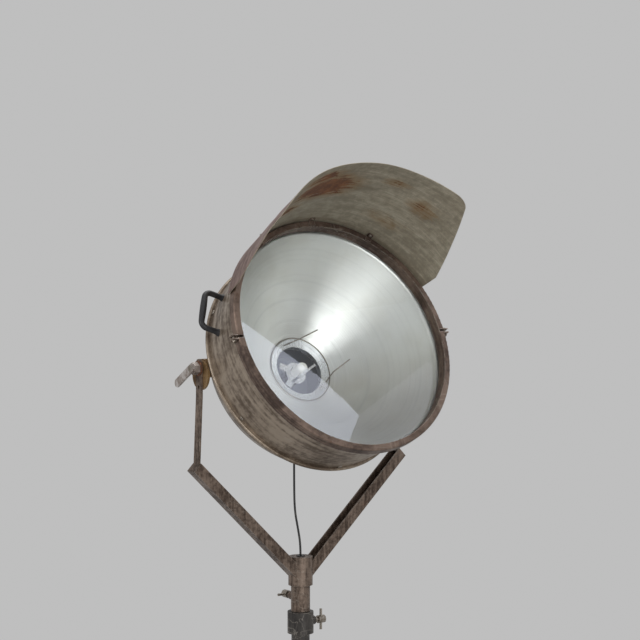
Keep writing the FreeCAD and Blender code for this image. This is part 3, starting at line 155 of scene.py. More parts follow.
def tubeMesh(name, path, radii, around, body=None):
    # a closed tube: rings of the given radii square to the path, with a flat fan at each end
    uvLength = 0.1
    path = np.asarray(path)
    radii = np.broadcast_to(radii, len(path))
    sides, ups = pathFrames(path)
    turn = fullTurn(around)
    rings = path[:, None] + radii[:, None, None] * (
        np.cos(turn)[None, :, None] * sides[:, None] + np.sin(turn)[None, :, None] * ups[:, None]
    )
    along = np.concatenate([[0], np.cumsum(np.linalg.norm(np.diff(path, axis=0), axis=1))])
    ringUv = np.stack(np.broadcast_arrays(turn[None, :] / (2 * math.pi), along[:, None] / uvLength), axis=-1)
    points = np.concatenate([rings.reshape(-1, 3), path[:1], path[-1:]])
    uv = np.concatenate([ringUv.reshape(-1, 2), [[0.5, 0]], [[0.5, along[-1] / uvLength]]])
    ring = np.arange(around)
    beside = (ring + 1) % around
    startCentre = len(path) * around
    lastRing = startCentre - around
    startFan = np.stack([np.full(around, startCentre), beside, ring], axis=-1)
    endFan = np.stack([np.full(around, startCentre + 1), lastRing + ring, lastRing + beside], axis=-1)
    return addPiece(name, points, [gridFaces(len(path), around, closed=True), startFan, endFan], body, uv)


def splinePath(points, resolution):
    # the smooth line of a NURBS spline that has these points as its control points
    curve = bpy.data.curves.new("route", "CURVE")
    curve.dimensions = "3D"
    curve.resolution_u = resolution
    spline = curve.splines.new("NURBS")
    spline.points.add(len(points) - 1)
    spline.points.foreach_set("co", np.column_stack([points, np.ones(len(points))]).ravel())
    spline.order_u = 3
    spline.use_endpoint_u = True
    route = bpy.data.objects.new("route", curve)
    mesh = bpy.data.meshes.new_from_object(route)
    line = np.empty(len(mesh.vertices) * 3)
    mesh.vertices.foreach_get("co", line)
    bpy.data.objects.remove(route)
    bpy.data.meshes.remove(mesh)
    return line.reshape(-1, 3)


def turnedMesh(name, profile, start, way, around, body):
    # a closed outline of (radius, height) rows turned about the axis through start along way
    way = np.asarray(way, dtype=float) / np.linalg.norm(way)
    side = squareTo(way)
    side /= np.linalg.norm(side)
    up = np.cross(way, side)
    turn = fullTurn(around)
    points = (
        np.asarray(start)
        + profile[:, 1, None, None] * way
        + profile[:, 0, None, None] * (np.cos(turn)[None, :, None] * side + np.sin(turn)[None, :, None] * up)
    )
    return addPiece(name, points, [ringFaces(len(profile), around)], body)


# cords: control points repeat the route, in metres
cordDiameter = 0.005
headCord = {
    "route": [(0, 0.026, 1.245), (0, 0.026, 1.170), (0, 0.023, 1.120), (0, 0.009, 1.079), (0, 0, 1.046),
              (0, 0, 1.022)],
    "exit": (0, 0.026, 1.245),
    "length": 0.226,
}
headCordPath = splinePath(headCord["route"], resolution=16)
headCordPiece = tubeMesh("headCord", headCordPath, cordDiameter / 2, around=16)
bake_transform(headCordPiece)
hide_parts("cord_head_stretch")

floorCord = {
    "leaves": [(0, 0, 0.125), (0, 0, 0.097), (0, 0.009, 0.063), (0.001, 0.029, 0.034), (0.002, 0.060, 0.013),
               (0.003, 0.098, 0.0047), (0.008, 0.142, 0.0027), (0.019, 0.190, 0.0033),
               (0.019, 0.240, 0.0042)],
    "coilCentre": (-0.020, 0.250),
    "coilRadius": 0.039,
    "coreRadius": 0.0166,
    "inward": 0.981,  # the spline's radius as a share of its control points' radius
    "lie": 0.0042,
    "layer": 0.006,
    "turnsIn": 3.5,
    "climb": 0.5,
    "turnsOut": 3.25,
    "pointsPerTurn": 16,
    "tailFrom": (-0.030, 0.289, 0.0102),
    "tail": [(-0.014, 0, 0), (-0.036, 0.005, -0.0061), (-0.060, 0.018, -0.0063), (-0.082, 0.0285, -0.002),
             (-0.104, 0.030, 0.001)],
    "length": 1.674,
}


def coilRoute(values):
    # loops drawn in steadily along the floor, a rise of one layer over half a turn, then out again on top
    climbEnd = values["turnsIn"] + values["climb"]
    turns = np.arange(0, climbEnd + values["turnsOut"] + 1e-6, 1 / values["pointsPerTurn"])
    drawnIn = values["coilRadius"] - values["coreRadius"]
    lowLoops = values["coilRadius"] - drawnIn * turns / values["turnsIn"]
    highLoops = values["coreRadius"] + drawnIn * (turns - climbEnd) / values["turnsOut"]
    upperRadius = np.where(turns < climbEnd, values["coreRadius"], highLoops)
    radius = np.where(turns < values["turnsIn"], lowLoops, upperRadius) / values["inward"]
    share = np.clip((turns - values["turnsIn"]) / values["climb"], 0, 1)
    height = values["lie"] + values["layer"] * (1 - np.cos(math.pi * share)) / 2
    angle = 2 * math.pi * turns
    centre = values["coilCentre"]
    return np.stack([centre[0] + radius * np.cos(angle), centre[1] + radius * np.sin(angle), height], axis=-1)


tailPoints = np.array(floorCord["tailFrom"]) + np.array(floorCord["tail"])
floorRoute = np.concatenate([np.array(floorCord["leaves"]), coilRoute(floorCord), tailPoints])
floorCordPath = splinePath(floorRoute, resolution=6)
floorCordPiece = tubeMesh("floorCord", floorCordPath, cordDiameter / 2, around=12, body="base")
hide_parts("cord_floor", "cord_coil", "cord_tail")
print("cords:", len(headCordPath), "and", len(floorCordPath), "rings")

# visor: a sheet on circles that widen from the bezel to the front edge
visor = {
    "rear": 0.172, "front": 0.452, "rearRadius": 0.283, "frontRadius": 0.340, "centreDrop": 0.052,
    "lean": 0.5, "wall": 0.0015, "inset": 0.0003, "edgeRise": 0.112, "shoulder": 0.238, "cornerRise": 0.193,
    "cornerRounding": 0.030, "rows": 96, "columns": 150, "crowdMiddle": 0.12, "crowdFront": 1.25,
    "waves": 0.0009, "looseFrom": 0.22, "looseOver": 0.12, "uvSpan": 2.6,
    "ripples": [(1.0, 5.1, 9, 0), (0.6, 11, -14, 1.3), (0.4, 3, 23, 0)],  # strength, around, along, phase
}


def visorEdge(f):
    # how high the sheet's side edge lies at a depth: level, then a straight rise, then the rounded corner
    rounding = visor["cornerRounding"]
    slope = (visor["cornerRise"] - visor["edgeRise"]) / (visor["front"] - visor["shoulder"])
    straight = visor["edgeRise"] + slope * np.clip(f - visor["shoulder"], 0, None)
    slopeAngle = math.atan(slope)
    tangentRun = rounding * math.tan((math.pi / 2 - slopeAngle) / 2)
    centreF = visor["front"] - rounding
    inside = np.clip(f - centreF, 0, rounding)
    rounded = visor["cornerRise"] + tangentRun - np.sqrt(np.clip(rounding ** 2 - inside ** 2, 0, None))
    return np.where(f > centreF + rounding * math.sin(slopeAngle), rounded, straight)


def visorSurface():
    # two parameters: across the arc, and out along the beam, with rows crowded at the rounded corners;
    # each row is an arc of a circle whose radius grows and whose centre drops in step with the depth
    share = np.linspace(0, 1, visor["rows"])
    share = share + visor["crowdMiddle"] * np.sin(math.pi * share) * share
    share = share / share[-1]
    f = visor["rear"] + (visor["front"] - visor["rear"]) * (1 - (1 - share) ** visor["crowdFront"])
    part = ((f - visor["rear"]) / (visor["front"] - visor["rear"]))[:, None]
    radius = visor["rearRadius"] + (visor["frontRadius"] - visor["rearRadius"]) * part
    drop = visor["centreDrop"] * part
    half = np.arccos(np.clip((visorEdge(f)[:, None] + drop) / radius, -1, 1))
    turn = half * np.linspace(-1, 1, visor["columns"])[None, :]
    loose = np.clip((f - visor["looseFrom"]) / visor["looseOver"], 0, 1)[:, None]
    wave = visor["waves"] * loose * sum(strength * np.sin(around * turn + along * part + phase)
                                        for strength, around, along, phase in visor["ripples"])
    distance = radius + wave - visor["inset"]
    x, u = distance * np.sin(turn), distance * np.cos(turn) - drop
    lean = math.radians(visor["lean"])
    side, rise = x * math.cos(lean) - u * math.sin(lean), x * math.sin(lean) + u * math.cos(lean)
    uv = np.stack(np.broadcast_arrays(0.5 + turn / visor["uvSpan"], part), axis=-1)
    return fromHead(side, rise, f[:, None]), uv


visorPoints, visorUv = visorSurface()
visorFaces = gridFaces(visor["rows"], visor["columns"])[:, ::-1]
visorPiece = addPiece("visorSheet", visorPoints, [visorFaces], "head", visorUv)
wall = visorPiece.modifiers.new("wall", "SOLIDIFY")
wall.thickness = visor["wall"]
wall.offset = -1
wall.material_offset = 1  # the inner face and the rim take the second material
wall.material_offset_rim = 1
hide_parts("visor")

# reflector: a spun dish with shallow turned rings, each a place, a height and a width
reflector = {
    "neck": 0.061, "neckDepth": -0.0085, "rim": 0.259, "width": 0.370, "lip": 0.2606, "flange": 0.2669,
    "front": 0.168, "wall": 0.0012, "rows": 220, "around": 256, "backWall": 1.5, "backStep": 12,
    "rings": [(0.088, 0.0003, 0.002), (0.113, 0.0004, 0.003), (0.152, 0.0002, 0.003), (0.176, 0.0002, 0.003)],
    "toolMark": 0.00010, "fineMarks": 1900, "broadMarks": 333, "uvPerMetre": 2,
}


def reflectorProfile():
    # a parabola with small round ridges, then the flat flange under the glass, and back along the rear
    r = np.linspace(reflector["neck"], reflector["rim"], reflector["rows"])
    depth = reflector["neckDepth"] + (r ** 2 - reflector["neck"] ** 2) / reflector["width"]
    for ringRadius, height, width in reflector["rings"]:
        depth = depth + height * np.exp(-(((r - ringRadius) / width) ** 2))
    marks = reflector["toolMark"] * np.sin(r * reflector["fineMarks"]) * np.sin(r * reflector["broadMarks"])
    depth = depth + marks
    front, wallThickness = reflector["front"], reflector["wall"]
    lip = [(reflector["lip"], front + wallThickness), (reflector["flange"], front + wallThickness),
           (reflector["flange"], front), (reflector["lip"] + wallThickness, front),
           (reflector["rim"] + wallThickness, depth[-1])]
    back = np.column_stack([r, depth - wallThickness * reflector["backWall"]])[::-reflector["backStep"]]
    return np.concatenate([np.column_stack([r, depth]), lip, back])


def dishUv(mesh, profile, around):
    # across is the radius, up is the share of a turn; faces over the seam run on past 1
    radial = np.repeat(profile[:, 0], around) * reflector["uvPerMetre"]
    circle = np.tile(np.arange(around) / around, len(profile))
    cornerUv = np.column_stack([radial, circle])[cornerVertices(mesh)].reshape(-1, 4, 2)
    wraps = cornerUv[:, :, 1].max(axis=1) - cornerUv[:, :, 1].min(axis=1) > 0.5
    shares = cornerUv[wraps, :, 1]
    cornerUv[wraps, :, 1] = np.where(shares < 0.5, shares + 1, shares)
    return cornerUv


dishProfile = reflectorProfile()
dishTurn = fullTurn(reflector["around"])
dishRadius = dishProfile[:, :1]
dishPoints = fromHead(dishRadius * np.cos(dishTurn), dishRadius * np.sin(dishTurn), dishProfile[:, 1:])
dishPiece = addPiece("spunReflector", dishPoints, [ringFaces(len(dishProfile), reflector["around"])], "head")
putUv(dishPiece.data, dishUv(dishPiece.data, dishProfile, reflector["around"]))
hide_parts("reflector")

# carrying handle: a round grip that swells between two bends, with flared feet
handle = {
    "turn": 157.3, "depth": 0.091, "leg": 0.045, "foot": 0.2540, "top": 0.3005, "bend": 0.014,
    "radius": 0.0064, "flare": 0.0028, "flareOver": 0.006, "flareTo": 0.03, "swell": 0.0011,
    "swellHalf": 0.036, "swellAbove": 0.035, "bendPoints": 12, "legPoints": 14, "gripPoints": 24,
}
handleTurn = math.radians(handle["turn"])
handleOut = headSide * math.cos(handleTurn) + headUp * math.sin(handleTurn)
handleAcross = -headSide * math.sin(handleTurn) + headUp * math.cos(handleTurn)
handleBase = headCentre + headForward * handle["depth"]


def handlePath():
    # two straight legs, two quarter circles and the grip, as (across, out) rows
    bend, leg, top = handle["bend"], handle["leg"], handle["top"]
    arc = np.linspace(0, math.pi / 2, handle["bendPoints"])
    out = np.linspace(handle["foot"], top - bend, handle["legPoints"])
    up = np.column_stack([np.full(handle["legPoints"], -leg), out])
    first = np.column_stack([-leg + bend - bend * np.cos(arc), top - bend + bend * np.sin(arc)])
    across = np.linspace(-leg + bend, leg - bend, handle["gripPoints"])
    grip = np.column_stack([across, np.full(handle["gripPoints"], top)])
    flat = np.concatenate([up[:-1], first, grip[1:-1], first[::-1] * [-1, 1], up[::-1][1:] * [-1, 1]])
    return handleBase + flat[:, :1] * handleAcross + flat[:, 1:] * handleOut, flat


handleLine, handleFlat = handlePath()
rise = handleFlat[:, 1] - handle["foot"]
flare = handle["flare"] * np.exp(-((rise / handle["flareOver"]) ** 2)) * (rise < handle["flareTo"])
swell = handle["swell"] * np.clip(1 - (handleFlat[:, 0] / handle["swellHalf"]) ** 2, 0, 1) * (
    rise > handle["swellAbove"])
handlePiece = tubeMesh("carryHandle", handleLine, handle["radius"] + flare + swell, around=28, body="head")
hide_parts("carry_handle")

# strain relief under the drum: it widens along its ribs to a flange, and has the cord's bore
relief = {
    "place": (0, 0.026, 1.245), "length": 0.034, "tip": 0.0042, "widens": 0.0036, "points": 90,
    "rib": 0.0006, "ribs": 9, "ribsTo": 0.9, "around": 40,
    "flange": [(0.0118, 0.034), (0.0128, 0.035), (0.0128, 0.041), (0.0118, 0.0419)],
    "bore": [(0.0027, 0.0419), (0.0027, 0.0)],
}
steps = np.linspace(0, 1, relief["points"])
ribs = relief["rib"] * np.abs(np.sin(steps * math.pi * relief["ribs"])) ** 0.5
reliefRadius = relief["tip"] + relief["widens"] * steps + ribs * (steps < relief["ribsTo"])
reliefProfile = np.concatenate([np.column_stack([reliefRadius, steps * relief["length"]]), relief["flange"],
                                relief["bore"]])
reliefPiece = turnedMesh("cableRelief", reliefProfile, relief["place"], (0, 0, 1), relief["around"], "head")
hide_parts("cable_gland")

# plug: a grooved neck that widens, then a wider head with a flat end
plug = {
    "way": (-0.997, 0.068, 0.045), "length": 0.0375, "points": 80, "around": 40,
    "neck": 0.0044, "widens": 0.0043, "widensOver": 0.35, "head": 0.0022, "headFrom": 0.5, "headOver": 0.08,
    "groove": 0.0005, "grooves": 26, "groovesFrom": 0.08, "end": [(0.0102, 0.038), (0.0, 0.038), (0.0, 0.0)],
}
steps = np.linspace(0, 1, plug["points"])
neckRadius = plug["neck"] + plug["widens"] * np.clip(steps / plug["widensOver"], 0, 1) ** 0.8
plugRadius = neckRadius + plug["head"] * np.clip((steps - plug["headFrom"]) / plug["headOver"], 0, 1)
grooved = np.sin(steps * math.pi * plug["grooves"]) > 0
grooved = grooved * (steps > plug["groovesFrom"]) * (steps < plug["headFrom"])
plugRadius = plugRadius - plug["groove"] * grooved
plugProfile = np.concatenate([np.column_stack([plugRadius, steps * plug["length"]]), plug["end"]])
plugPiece = turnedMesh("plugGrip", plugProfile, floorRoute[-1], plug["way"], plug["around"], "base")
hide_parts("plug_body")

print("pieces made")


# shader nodes: every maker takes the tree first, and numbers, colours or other nodes' outputs after it
def feed(tree, inputs, values):
    # links an output to each named input, or sets the input where the value is plain
    for key, value in values.items():
        if isinstance(value, bpy.types.NodeSocket):
            tree.links.new(value, inputs[key])
        else:
            inputs[key].default_value = value


def place(tree, kind, sockets=None, **settings):
    node = tree.nodes.new(kind)
    for key, value in settings.items():
        setattr(node, key, value)
    feed(tree, node.inputs, sockets or {})
    return node


def noise(tree, vector, scale, detail=6, roughness=0.6, distortion=0.0):
    sockets = {"Vector": vector, "Scale": scale, "Detail": detail, "Roughness": roughness,
               "Distortion": distortion}
    return place(tree, "ShaderNodeTexNoise", sockets).outputs["Fac"]


def ramp(tree, value, low, high, toLow=0.0, toHigh=1.0):
    # a smooth step: low to high in the value becomes toLow to toHigh
    sockets = {"Value": value, "From Min": low, "From Max": high, "To Min": toLow, "To Max": toHigh}
    return place(tree, "ShaderNodeMapRange", sockets, interpolation_type="SMOOTHSTEP").outputs["Result"]


def blendColours(tree, mask, first, second):
    return place(tree, "ShaderNodeMix", {0: mask, 6: first, 7: second}, data_type="RGBA").outputs[2]


def blendNumbers(tree, mask, first, second):
    return place(tree, "ShaderNodeMix", {0: mask, 2: first, 3: second}, data_type="FLOAT").outputs[0]


def reckon(tree, operation, first, second=0.0):
    return place(tree, "ShaderNodeMath", {0: first, 1: second}, operation=operation).outputs[0]


def plus(tree, first, second):
    return reckon(tree, "ADD", first, second)


def minus(tree, first, second):
    return reckon(tree, "SUBTRACT", first, second)


def times(tree, first, second):
    return reckon(tree, "MULTIPLY", first, second)


def larger(tree, first, second):
    return reckon(tree, "MAXIMUM", first, second)


def mapped(tree, vector, scale, turned=(0, 0, 0), moved=(0, 0, 0)):
    return place(tree, "ShaderNodeMapping", {"Vector": vector, "Location": moved, "Rotation": turned,
                                             "Scale": scale}).outputs["Vector"]


def bumped(tree, height, strength, distance):
    return place(tree, "ShaderNodeBump", {"Height": height, "Strength": strength,
                                          "Distance": distance}).outputs["Normal"]


def socketKind(value):
    # None stands for a vector, a tuple for a colour and a number for a float
    if value is None:
        return "NodeSocketVector"
    return "NodeSocketColor" if isinstance(value, tuple) else "NodeSocketFloat"


def newGroup(name, inputs, outputs):
    # an empty node group with named sockets: its tree, what it is given and what it puts out
    tree = bpy.data.node_groups.new(name, "ShaderNodeTree")
    for label, value in inputs.items():
        socket = tree.interface.new_socket(label, in_out="INPUT", socket_type=socketKind(value))
        if value is not None:
            socket.default_value = value
    for label, kind in outputs.items():
        tree.interface.new_socket(label, in_out="OUTPUT", socket_type="NodeSocket" + kind)
    return tree, tree.nodes.new("NodeGroupInput").outputs, tree.nodes.new("NodeGroupOutput").inputs


def makePatina():
    # two tones mottled at three sizes, with faint long streaks: colour, height and the mottling itself
    tree, given, result = newGroup("patina", {
        "Vector": None, "Light": tint(140, 125, 105), "Dark": tint(80, 66, 55), "Scale": 6.0, "Streak": 0.4,
        "Stretch": None, "Blotch": 0.6}, {"Color": "Color", "Height": "Float", "Mottle": "Float"})
    broad = noise(tree, given["Vector"], given["Scale"], 5, 0.55, 0.4)
    fine = noise(tree, given["Vector"], times(tree, given["Scale"], 7.0), 8, 0.7)
    stretched = mapped(tree, given["Vector"], given["Stretch"])
    streak = noise(tree, stretched, times(tree, given["Scale"], 11.0), 4, 0.6)
    mixed = plus(tree, times(tree, minus(tree, broad, fine), given["Blotch"]), fine)
    shift = times(tree, minus(tree, streak, 0.5), given["Streak"])
    mottle = ramp(tree, plus(tree, mixed, shift), 0.36, 0.64)
    colour = blendColours(tree, mottle, given["Dark"], given["Light"])
    height = plus(tree, times(tree, fine, 0.6), times(tree, streak, 0.4))
    feed(tree, result, {"Color": colour, "Height": height, "Mottle": mottle})
    return tree


def makeRust():
    # patches of rust with eaten edges and a stained rim: where it is, its colour and its grain
    tree, given, result = newGroup("rust", {
        "Vector": None, "Scale": 5.0, "Coverage": 0.4, "Deep": tint(70, 38, 24), "Bright": tint(150, 84, 44)},
        {"Mask": "Float", "Color": "Color", "Height": "Float"})
    patches = noise(tree, given["Vector"], given["Scale"], 9, 0.68, 0.8)
    low = minus(tree, 0.78, times(tree, given["Coverage"], 0.5))
    tone = noise(tree, given["Vector"], times(tree, given["Scale"], 5.0), 6, 0.7)
    colour = blendColours(tree, ramp(tree, tone, 0.38, 0.66), given["Deep"], given["Bright"])
    feed(tree, result, {"Mask": ramp(tree, patches, low, plus(tree, low, 0.09)), "Color": colour,
                        "Height": noise(tree, given["Vector"], 160.0, 4, 0.7)})
    return tree


def makeWear():
    # bare metal on convex edges: a rounded normal against the plain one, broken up by noise
    tree, given, result = newGroup("edgeWear", {"Vector": None, "Radius": 0.0012, "Amount": 0.5},
                                   {"Mask": "Float"})
    rounded = place(tree, "ShaderNodeBevel", {"Radius": given["Radius"]}, samples=6).outputs["Normal"]
    plain = place(tree, "ShaderNodeNewGeometry").outputs["Normal"]
    match = place(tree, "ShaderNodeVectorMath", {0: rounded, 1: plain}, operation="DOT_PRODUCT")
    edge = ramp(tree, match.outputs["Value"], 0.97, 0.80)
    broken = ramp(tree, noise(tree, given["Vector"], 45.0, 6, 0.7), 0.62, 0.40)
    feed(tree, result, {"Mask": times(tree, times(tree, edge, broken), given["Amount"])})
    return tree


def makeScratches():
    # fine bright lines: noise drawn out one way, then another, and cut to thin threads
    tree, given, result = newGroup("scratches", {"Vector": None, "Scale": 30.0, "Amount": 0.5},
                                   {"Mask": "Float"})
    threads = []
    for turnBy, stretch in ((0.5, (1.0, 0.05, 1.0)), (2.0, (0.06, 1.0, 1.0))):
        drawn = mapped(tree, given["Vector"], stretch, turned=(0.3, turnBy, turnBy))
        line = noise(tree, drawn, given["Scale"], 3, 0.5)
        threads.append(ramp(tree, reckon(tree, "ABSOLUTE", minus(tree, line, 0.5)), 0.012, 0.0))
    gate = ramp(tree, noise(tree, given["Vector"], 4.0, 3, 0.5), 0.5, 0.66)
    feed(tree, result, {"Mask": times(tree, times(tree, larger(tree, *threads), gate), given["Amount"])})
    return tree


groups = {"patina": makePatina(), "rust": makeRust(), "wear": makeWear(), "scratches": makeScratches()}


def useGroup(tree, name, sockets):
    return place(tree, "ShaderNodeGroup", sockets, node_tree=groups[name]).outputs


def newMaterial(name):
    # a material, its tree, the inputs of its shader and its Object coordinates
    material = bpy.data.materials.new(name)
    material.use_nodes = True
    tree = material.node_tree
    vector = place(tree, "ShaderNodeTexCoord").outputs["Object"]
    return material, tree, tree.nodes["Principled BSDF"].inputs, vector


def endWith(tree, shaderOutput):
    # makes a shader the one that the material shows
    tree.links.new(shaderOutput, tree.nodes["Material Output"].inputs["Surface"])


def headVector(tree, vector):
    # coordinates along the head's own axes: side, up the glass, out along the beam
    return place(tree, "ShaderNodeMapping", {"Vector": vector, "Location": tuple(headCentre.tolist()),
                                             "Rotation": (math.pi / 2 - headTilt, 0.0, 0.0)},
                 vector_type="TEXTURE").outputs["Vector"]


agedSteelUsual = {
    "onHead": False, "streak": 0.4, "stretch": (1.0, 1.0, 0.12), "blotch": 0.6, "rustDeep": tint(64, 38, 27),
    "rustBright": tint(132, 80, 48), "rustRough": 0.86, "edge": 0.0012, "lineScale": 30.0, "lines": 0.3,
    "bare": tint(176, 168, 158), "bareMetal": 0.9, "bareRough": 0.32, "bareDepth": 0.3, "duller": 0.12,
    "skinHeight": 0.35, "bump": 0.35, "bumpDepth": 0.0012,
}


def agedSteel(name, chosen):
    # painted or bare steel: patina, rust patches, worn edges and scratches, each from its group
    values = {**agedSteelUsual, **chosen}
    material, tree, shader, vector = newMaterial(name)
    if values["onHead"]:
        vector = headVector(tree, vector)
    skin = useGroup(tree, "patina", {"Vector": vector, "Light": values["light"], "Dark": values["dark"],
                                     "Scale": values["scale"], "Streak": values["streak"],
                                     "Stretch": values["stretch"], "Blotch": values["blotch"]})
    rust = useGroup(tree, "rust", {"Vector": vector, "Scale": values["rustScale"],
                                   "Coverage": values["coverage"], "Deep": values["rustDeep"],
                                   "Bright": values["rustBright"]})
    wear = useGroup(tree, "wear", {"Vector": vector, "Radius": values["edge"], "Amount": values["wear"]})
    lines = useGroup(tree, "scratches", {"Vector": vector, "Scale": values["lineScale"],
                                         "Amount": values["lines"]})
    bare = larger(tree, wear["Mask"], lines["Mask"])
    colour = blendColours(tree, rust["Mask"], skin["Color"], rust["Color"])
    metal = times(tree, minus(tree, 1.0, rust["Mask"]), values["metal"])
    rough = ramp(tree, skin["Mottle"], 0.0, 1.0, values["rough"] + values["duller"], values["rough"])
    rough = blendNumbers(tree, rust["Mask"], rough, values["rustRough"])
    height = plus(tree, times(tree, skin["Height"], values["skinHeight"]),
                  times(tree, rust["Mask"], rust["Height"]))
    height = minus(tree, height, times(tree, bare, values["bareDepth"]))
    feed(tree, shader, {"Base Color": blendColours(tree, bare, colour, values["bare"]),
                        "Metallic": larger(tree, metal, times(tree, bare, values["bareMetal"])),
                        "Roughness": blendNumbers(tree, bare, rough, values["bareRough"]),
                        "Normal": bumped(tree, height, values["bump"], values["bumpDepth"])})
    return material


plainMetalUsual = {
    "drawn": (1.0, 1.0, 0.05), "grainScale": 420.0, "grimeScale": 18.0, "lineScale": 40.0, "lines": 0.3,
    "scratched": tint(225, 222, 216), "dirt": tint(90, 78, 64), "duller": 0.1, "dirtRough": 0.2, "bump": 0.12,
    "bumpDepth": 0.0004,
}


def plainMetal(name, chosen):
    # clean or dull metal: fine grain drawn one way, light scratches and grubby patches
    values = {**plainMetalUsual, **chosen}
    material, tree, shader, vector = newMaterial(name)
    grain = noise(tree, mapped(tree, vector, values["drawn"]), values["grainScale"], 4, 0.6)
    dirt = ramp(tree, noise(tree, vector, values["grimeScale"], 7, 0.65), 0.48, 0.68)
    lines = useGroup(tree, "scratches", {"Vector": vector, "Scale": values["lineScale"],
                                         "Amount": values["lines"]})
    colour = blendColours(tree, times(tree, dirt, values["grime"]), values["colour"], values["dirt"])
    rough = ramp(tree, grain, 0.3, 0.7, values["rough"], values["rough"] + values["duller"])
    feed(tree, shader, {"Base Color": blendColours(tree, lines["Mask"], colour, values["scratched"]),
                        "Metallic": 1.0,
                        "Roughness": plus(tree, rough, times(tree, dirt, values["dirtRough"])),
                        "Normal": bumped(tree, grain, values["bump"], values["bumpDepth"])})
    return material


mouldedUsual = {
    "skinScale": 260.0, "dustScale": 14.0, "dusty": tint(96, 92, 86), "edge": 0.0010, "wear": 0.3,
    "rubbed": tint(110, 106, 100), "glossier": 0.05, "duller": 0.08, "bump": 0.2, "bumpDepth": 0.0003,
}


def mouldedMaterial(name, chosen):
    # plastic or rubber: fine orange-peel skin, dusty patches and rubbed edges
    values = {**mouldedUsual, **chosen}
    material, tree, shader, vector = newMaterial(name)
    skin = noise(tree, vector, values["skinScale"], 4, 0.6)
    dust = ramp(tree, noise(tree, vector, values["dustScale"], 7, 0.65), 0.45, 0.75)
    wear = useGroup(tree, "wear", {"Vector": vector, "Radius": values["edge"], "Amount": values["wear"]})
    colour = blendColours(tree, times(tree, dust, values["dust"]), values["colour"], values["dusty"])
    rough = ramp(tree, skin, 0.3, 0.7, values["rough"] - values["glossier"],
                 values["rough"] + values["duller"])
    feed(tree, shader, {"Base Color": blendColours(tree, wear["Mask"], colour, values["rubbed"]),
                        "Roughness": rough,
                        "Normal": bumped(tree, skin, values["bump"], values["bumpDepth"])})
    return material


aroundHead = (0.07, 0.07, 1.0)  # streaks that run around the beam
steels = {
    "drumSteel": {
        "light": tint(158, 144, 128), "dark": tint(92, 78, 65), "scale": 9.0, "streak": 0.55,
        "onHead": True, "stretch": aroundHead, "blotch": 0.45, "rustScale": 5.0, "coverage": 0.30,
        "rustDeep": tint(78, 58, 44), "rustBright": tint(120, 90, 64), "wear": 0.8, "metal": 0.6,
        "rough": 0.36, "bump": 0.25, "lines": 0.25},
    # the bezel's bare edges, wider and paler than the usual ones, are partly real wear and partly a painted
    # highlight for the light along its rolled front edge
    "bezelSteel": {
        "light": tint(118, 100, 88), "dark": tint(62, 48, 41), "scale": 14.0, "streak": 0.45,
        "onHead": True, "stretch": aroundHead, "rustScale": 11.0, "coverage": 0.42,
        "rustDeep": tint(58, 40, 32), "rustBright": tint(104, 74, 54), "wear": 1.0, "edge": 0.0018,
        "metal": 0.5, "rough": 0.42, "bump": 0.45, "lines": 0.3, "bare": tint(190, 180, 168)},
    "visorOutside": {
        "light": tint(120, 98, 90), "dark": tint(86, 66, 61), "scale": 8.0, "streak": 0.6, "onHead": True,
        "stretch": aroundHead, "blotch": 0.4, "rustScale": 4.0, "coverage": 0.32, "wear": 0.5, "metal": 0.3,
        "rough": 0.5, "bump": 0.25},
    "yokeSteel": {
        "light": tint(122, 106, 94), "dark": tint(62, 49, 40), "scale": 16.0, "streak": 0.5, "blotch": 0.4,
        "rustScale": 9.0, "coverage": 0.36, "rustDeep": tint(52, 38, 30), "rustBright": tint(96, 68, 48),
        "wear": 1.0, "metal": 0.55, "rough": 0.4, "bump": 0.3, "lines": 0.35},
    "tripodSteel": {
        "light": tint(62, 58, 54), "dark": tint(34, 31, 29), "scale": 10.0, "streak": 0.5,
        "rustScale": 12.0, "coverage": 0.28, "wear": 0.9, "metal": 0.2, "rough": 0.42, "bump": 0.2,
        "lines": 0.4},
    "nutSteel": {
        "light": tint(122, 88, 66), "dark": tint(70, 46, 34), "scale": 60.0, "streak": 0.2,
        "rustScale": 40.0, "coverage": 0.6, "wear": 0.6, "edge": 0.0008, "metal": 0.5, "rough": 0.5,
        "bump": 0.4},
    "leverSteel": {
        "light": tint(200, 195, 192), "dark": tint(140, 128, 120), "scale": 30.0, "streak": 0.4,
        "rustScale": 26.0, "coverage": 0.30, "wear": 0.9, "edge": 0.0008, "metal": 0.7, "rough": 0.4,
        "bump": 0.3},
    "trunnionBrass": {
        "light": tint(150, 122, 84), "dark": tint(94, 70, 46), "scale": 28.0, "streak": 0.2,
        "rustScale": 22.0, "coverage": 0.3, "rustDeep": tint(60, 44, 32), "rustBright": tint(104, 78, 52),
        "wear": 0.7, "metal": 0.7, "rough": 0.42, "bump": 0.3},
}
metals = {
    "screwSteel": {"colour": tint(150, 142, 132), "rough": 0.38, "grime": 0.8, "grimeScale": 60.0},
    "mastChrome": {"colour": tint(196, 194, 190), "rough": 0.16, "grime": 0.35, "grimeScale": 9.0,
                   "drawn": (1.0, 1.0, 0.02)},
    "lampAluminium": {"colour": tint(222, 224, 226), "rough": 0.22, "grime": 0.15, "lines": 0.2},
    # the cup's dark grey-blue, far darker than the polished aluminium it is made of, is painted shade for the
    # shadowed inside of the cup
    "cupAluminiumPaintedShade": {"colour": tint(120, 124, 134), "rough": 0.45, "grime": 0.3},
    "bulbBrass": {"colour": tint(190, 160, 104), "rough": 0.32, "grime": 0.4, "grimeScale": 60.0},
}
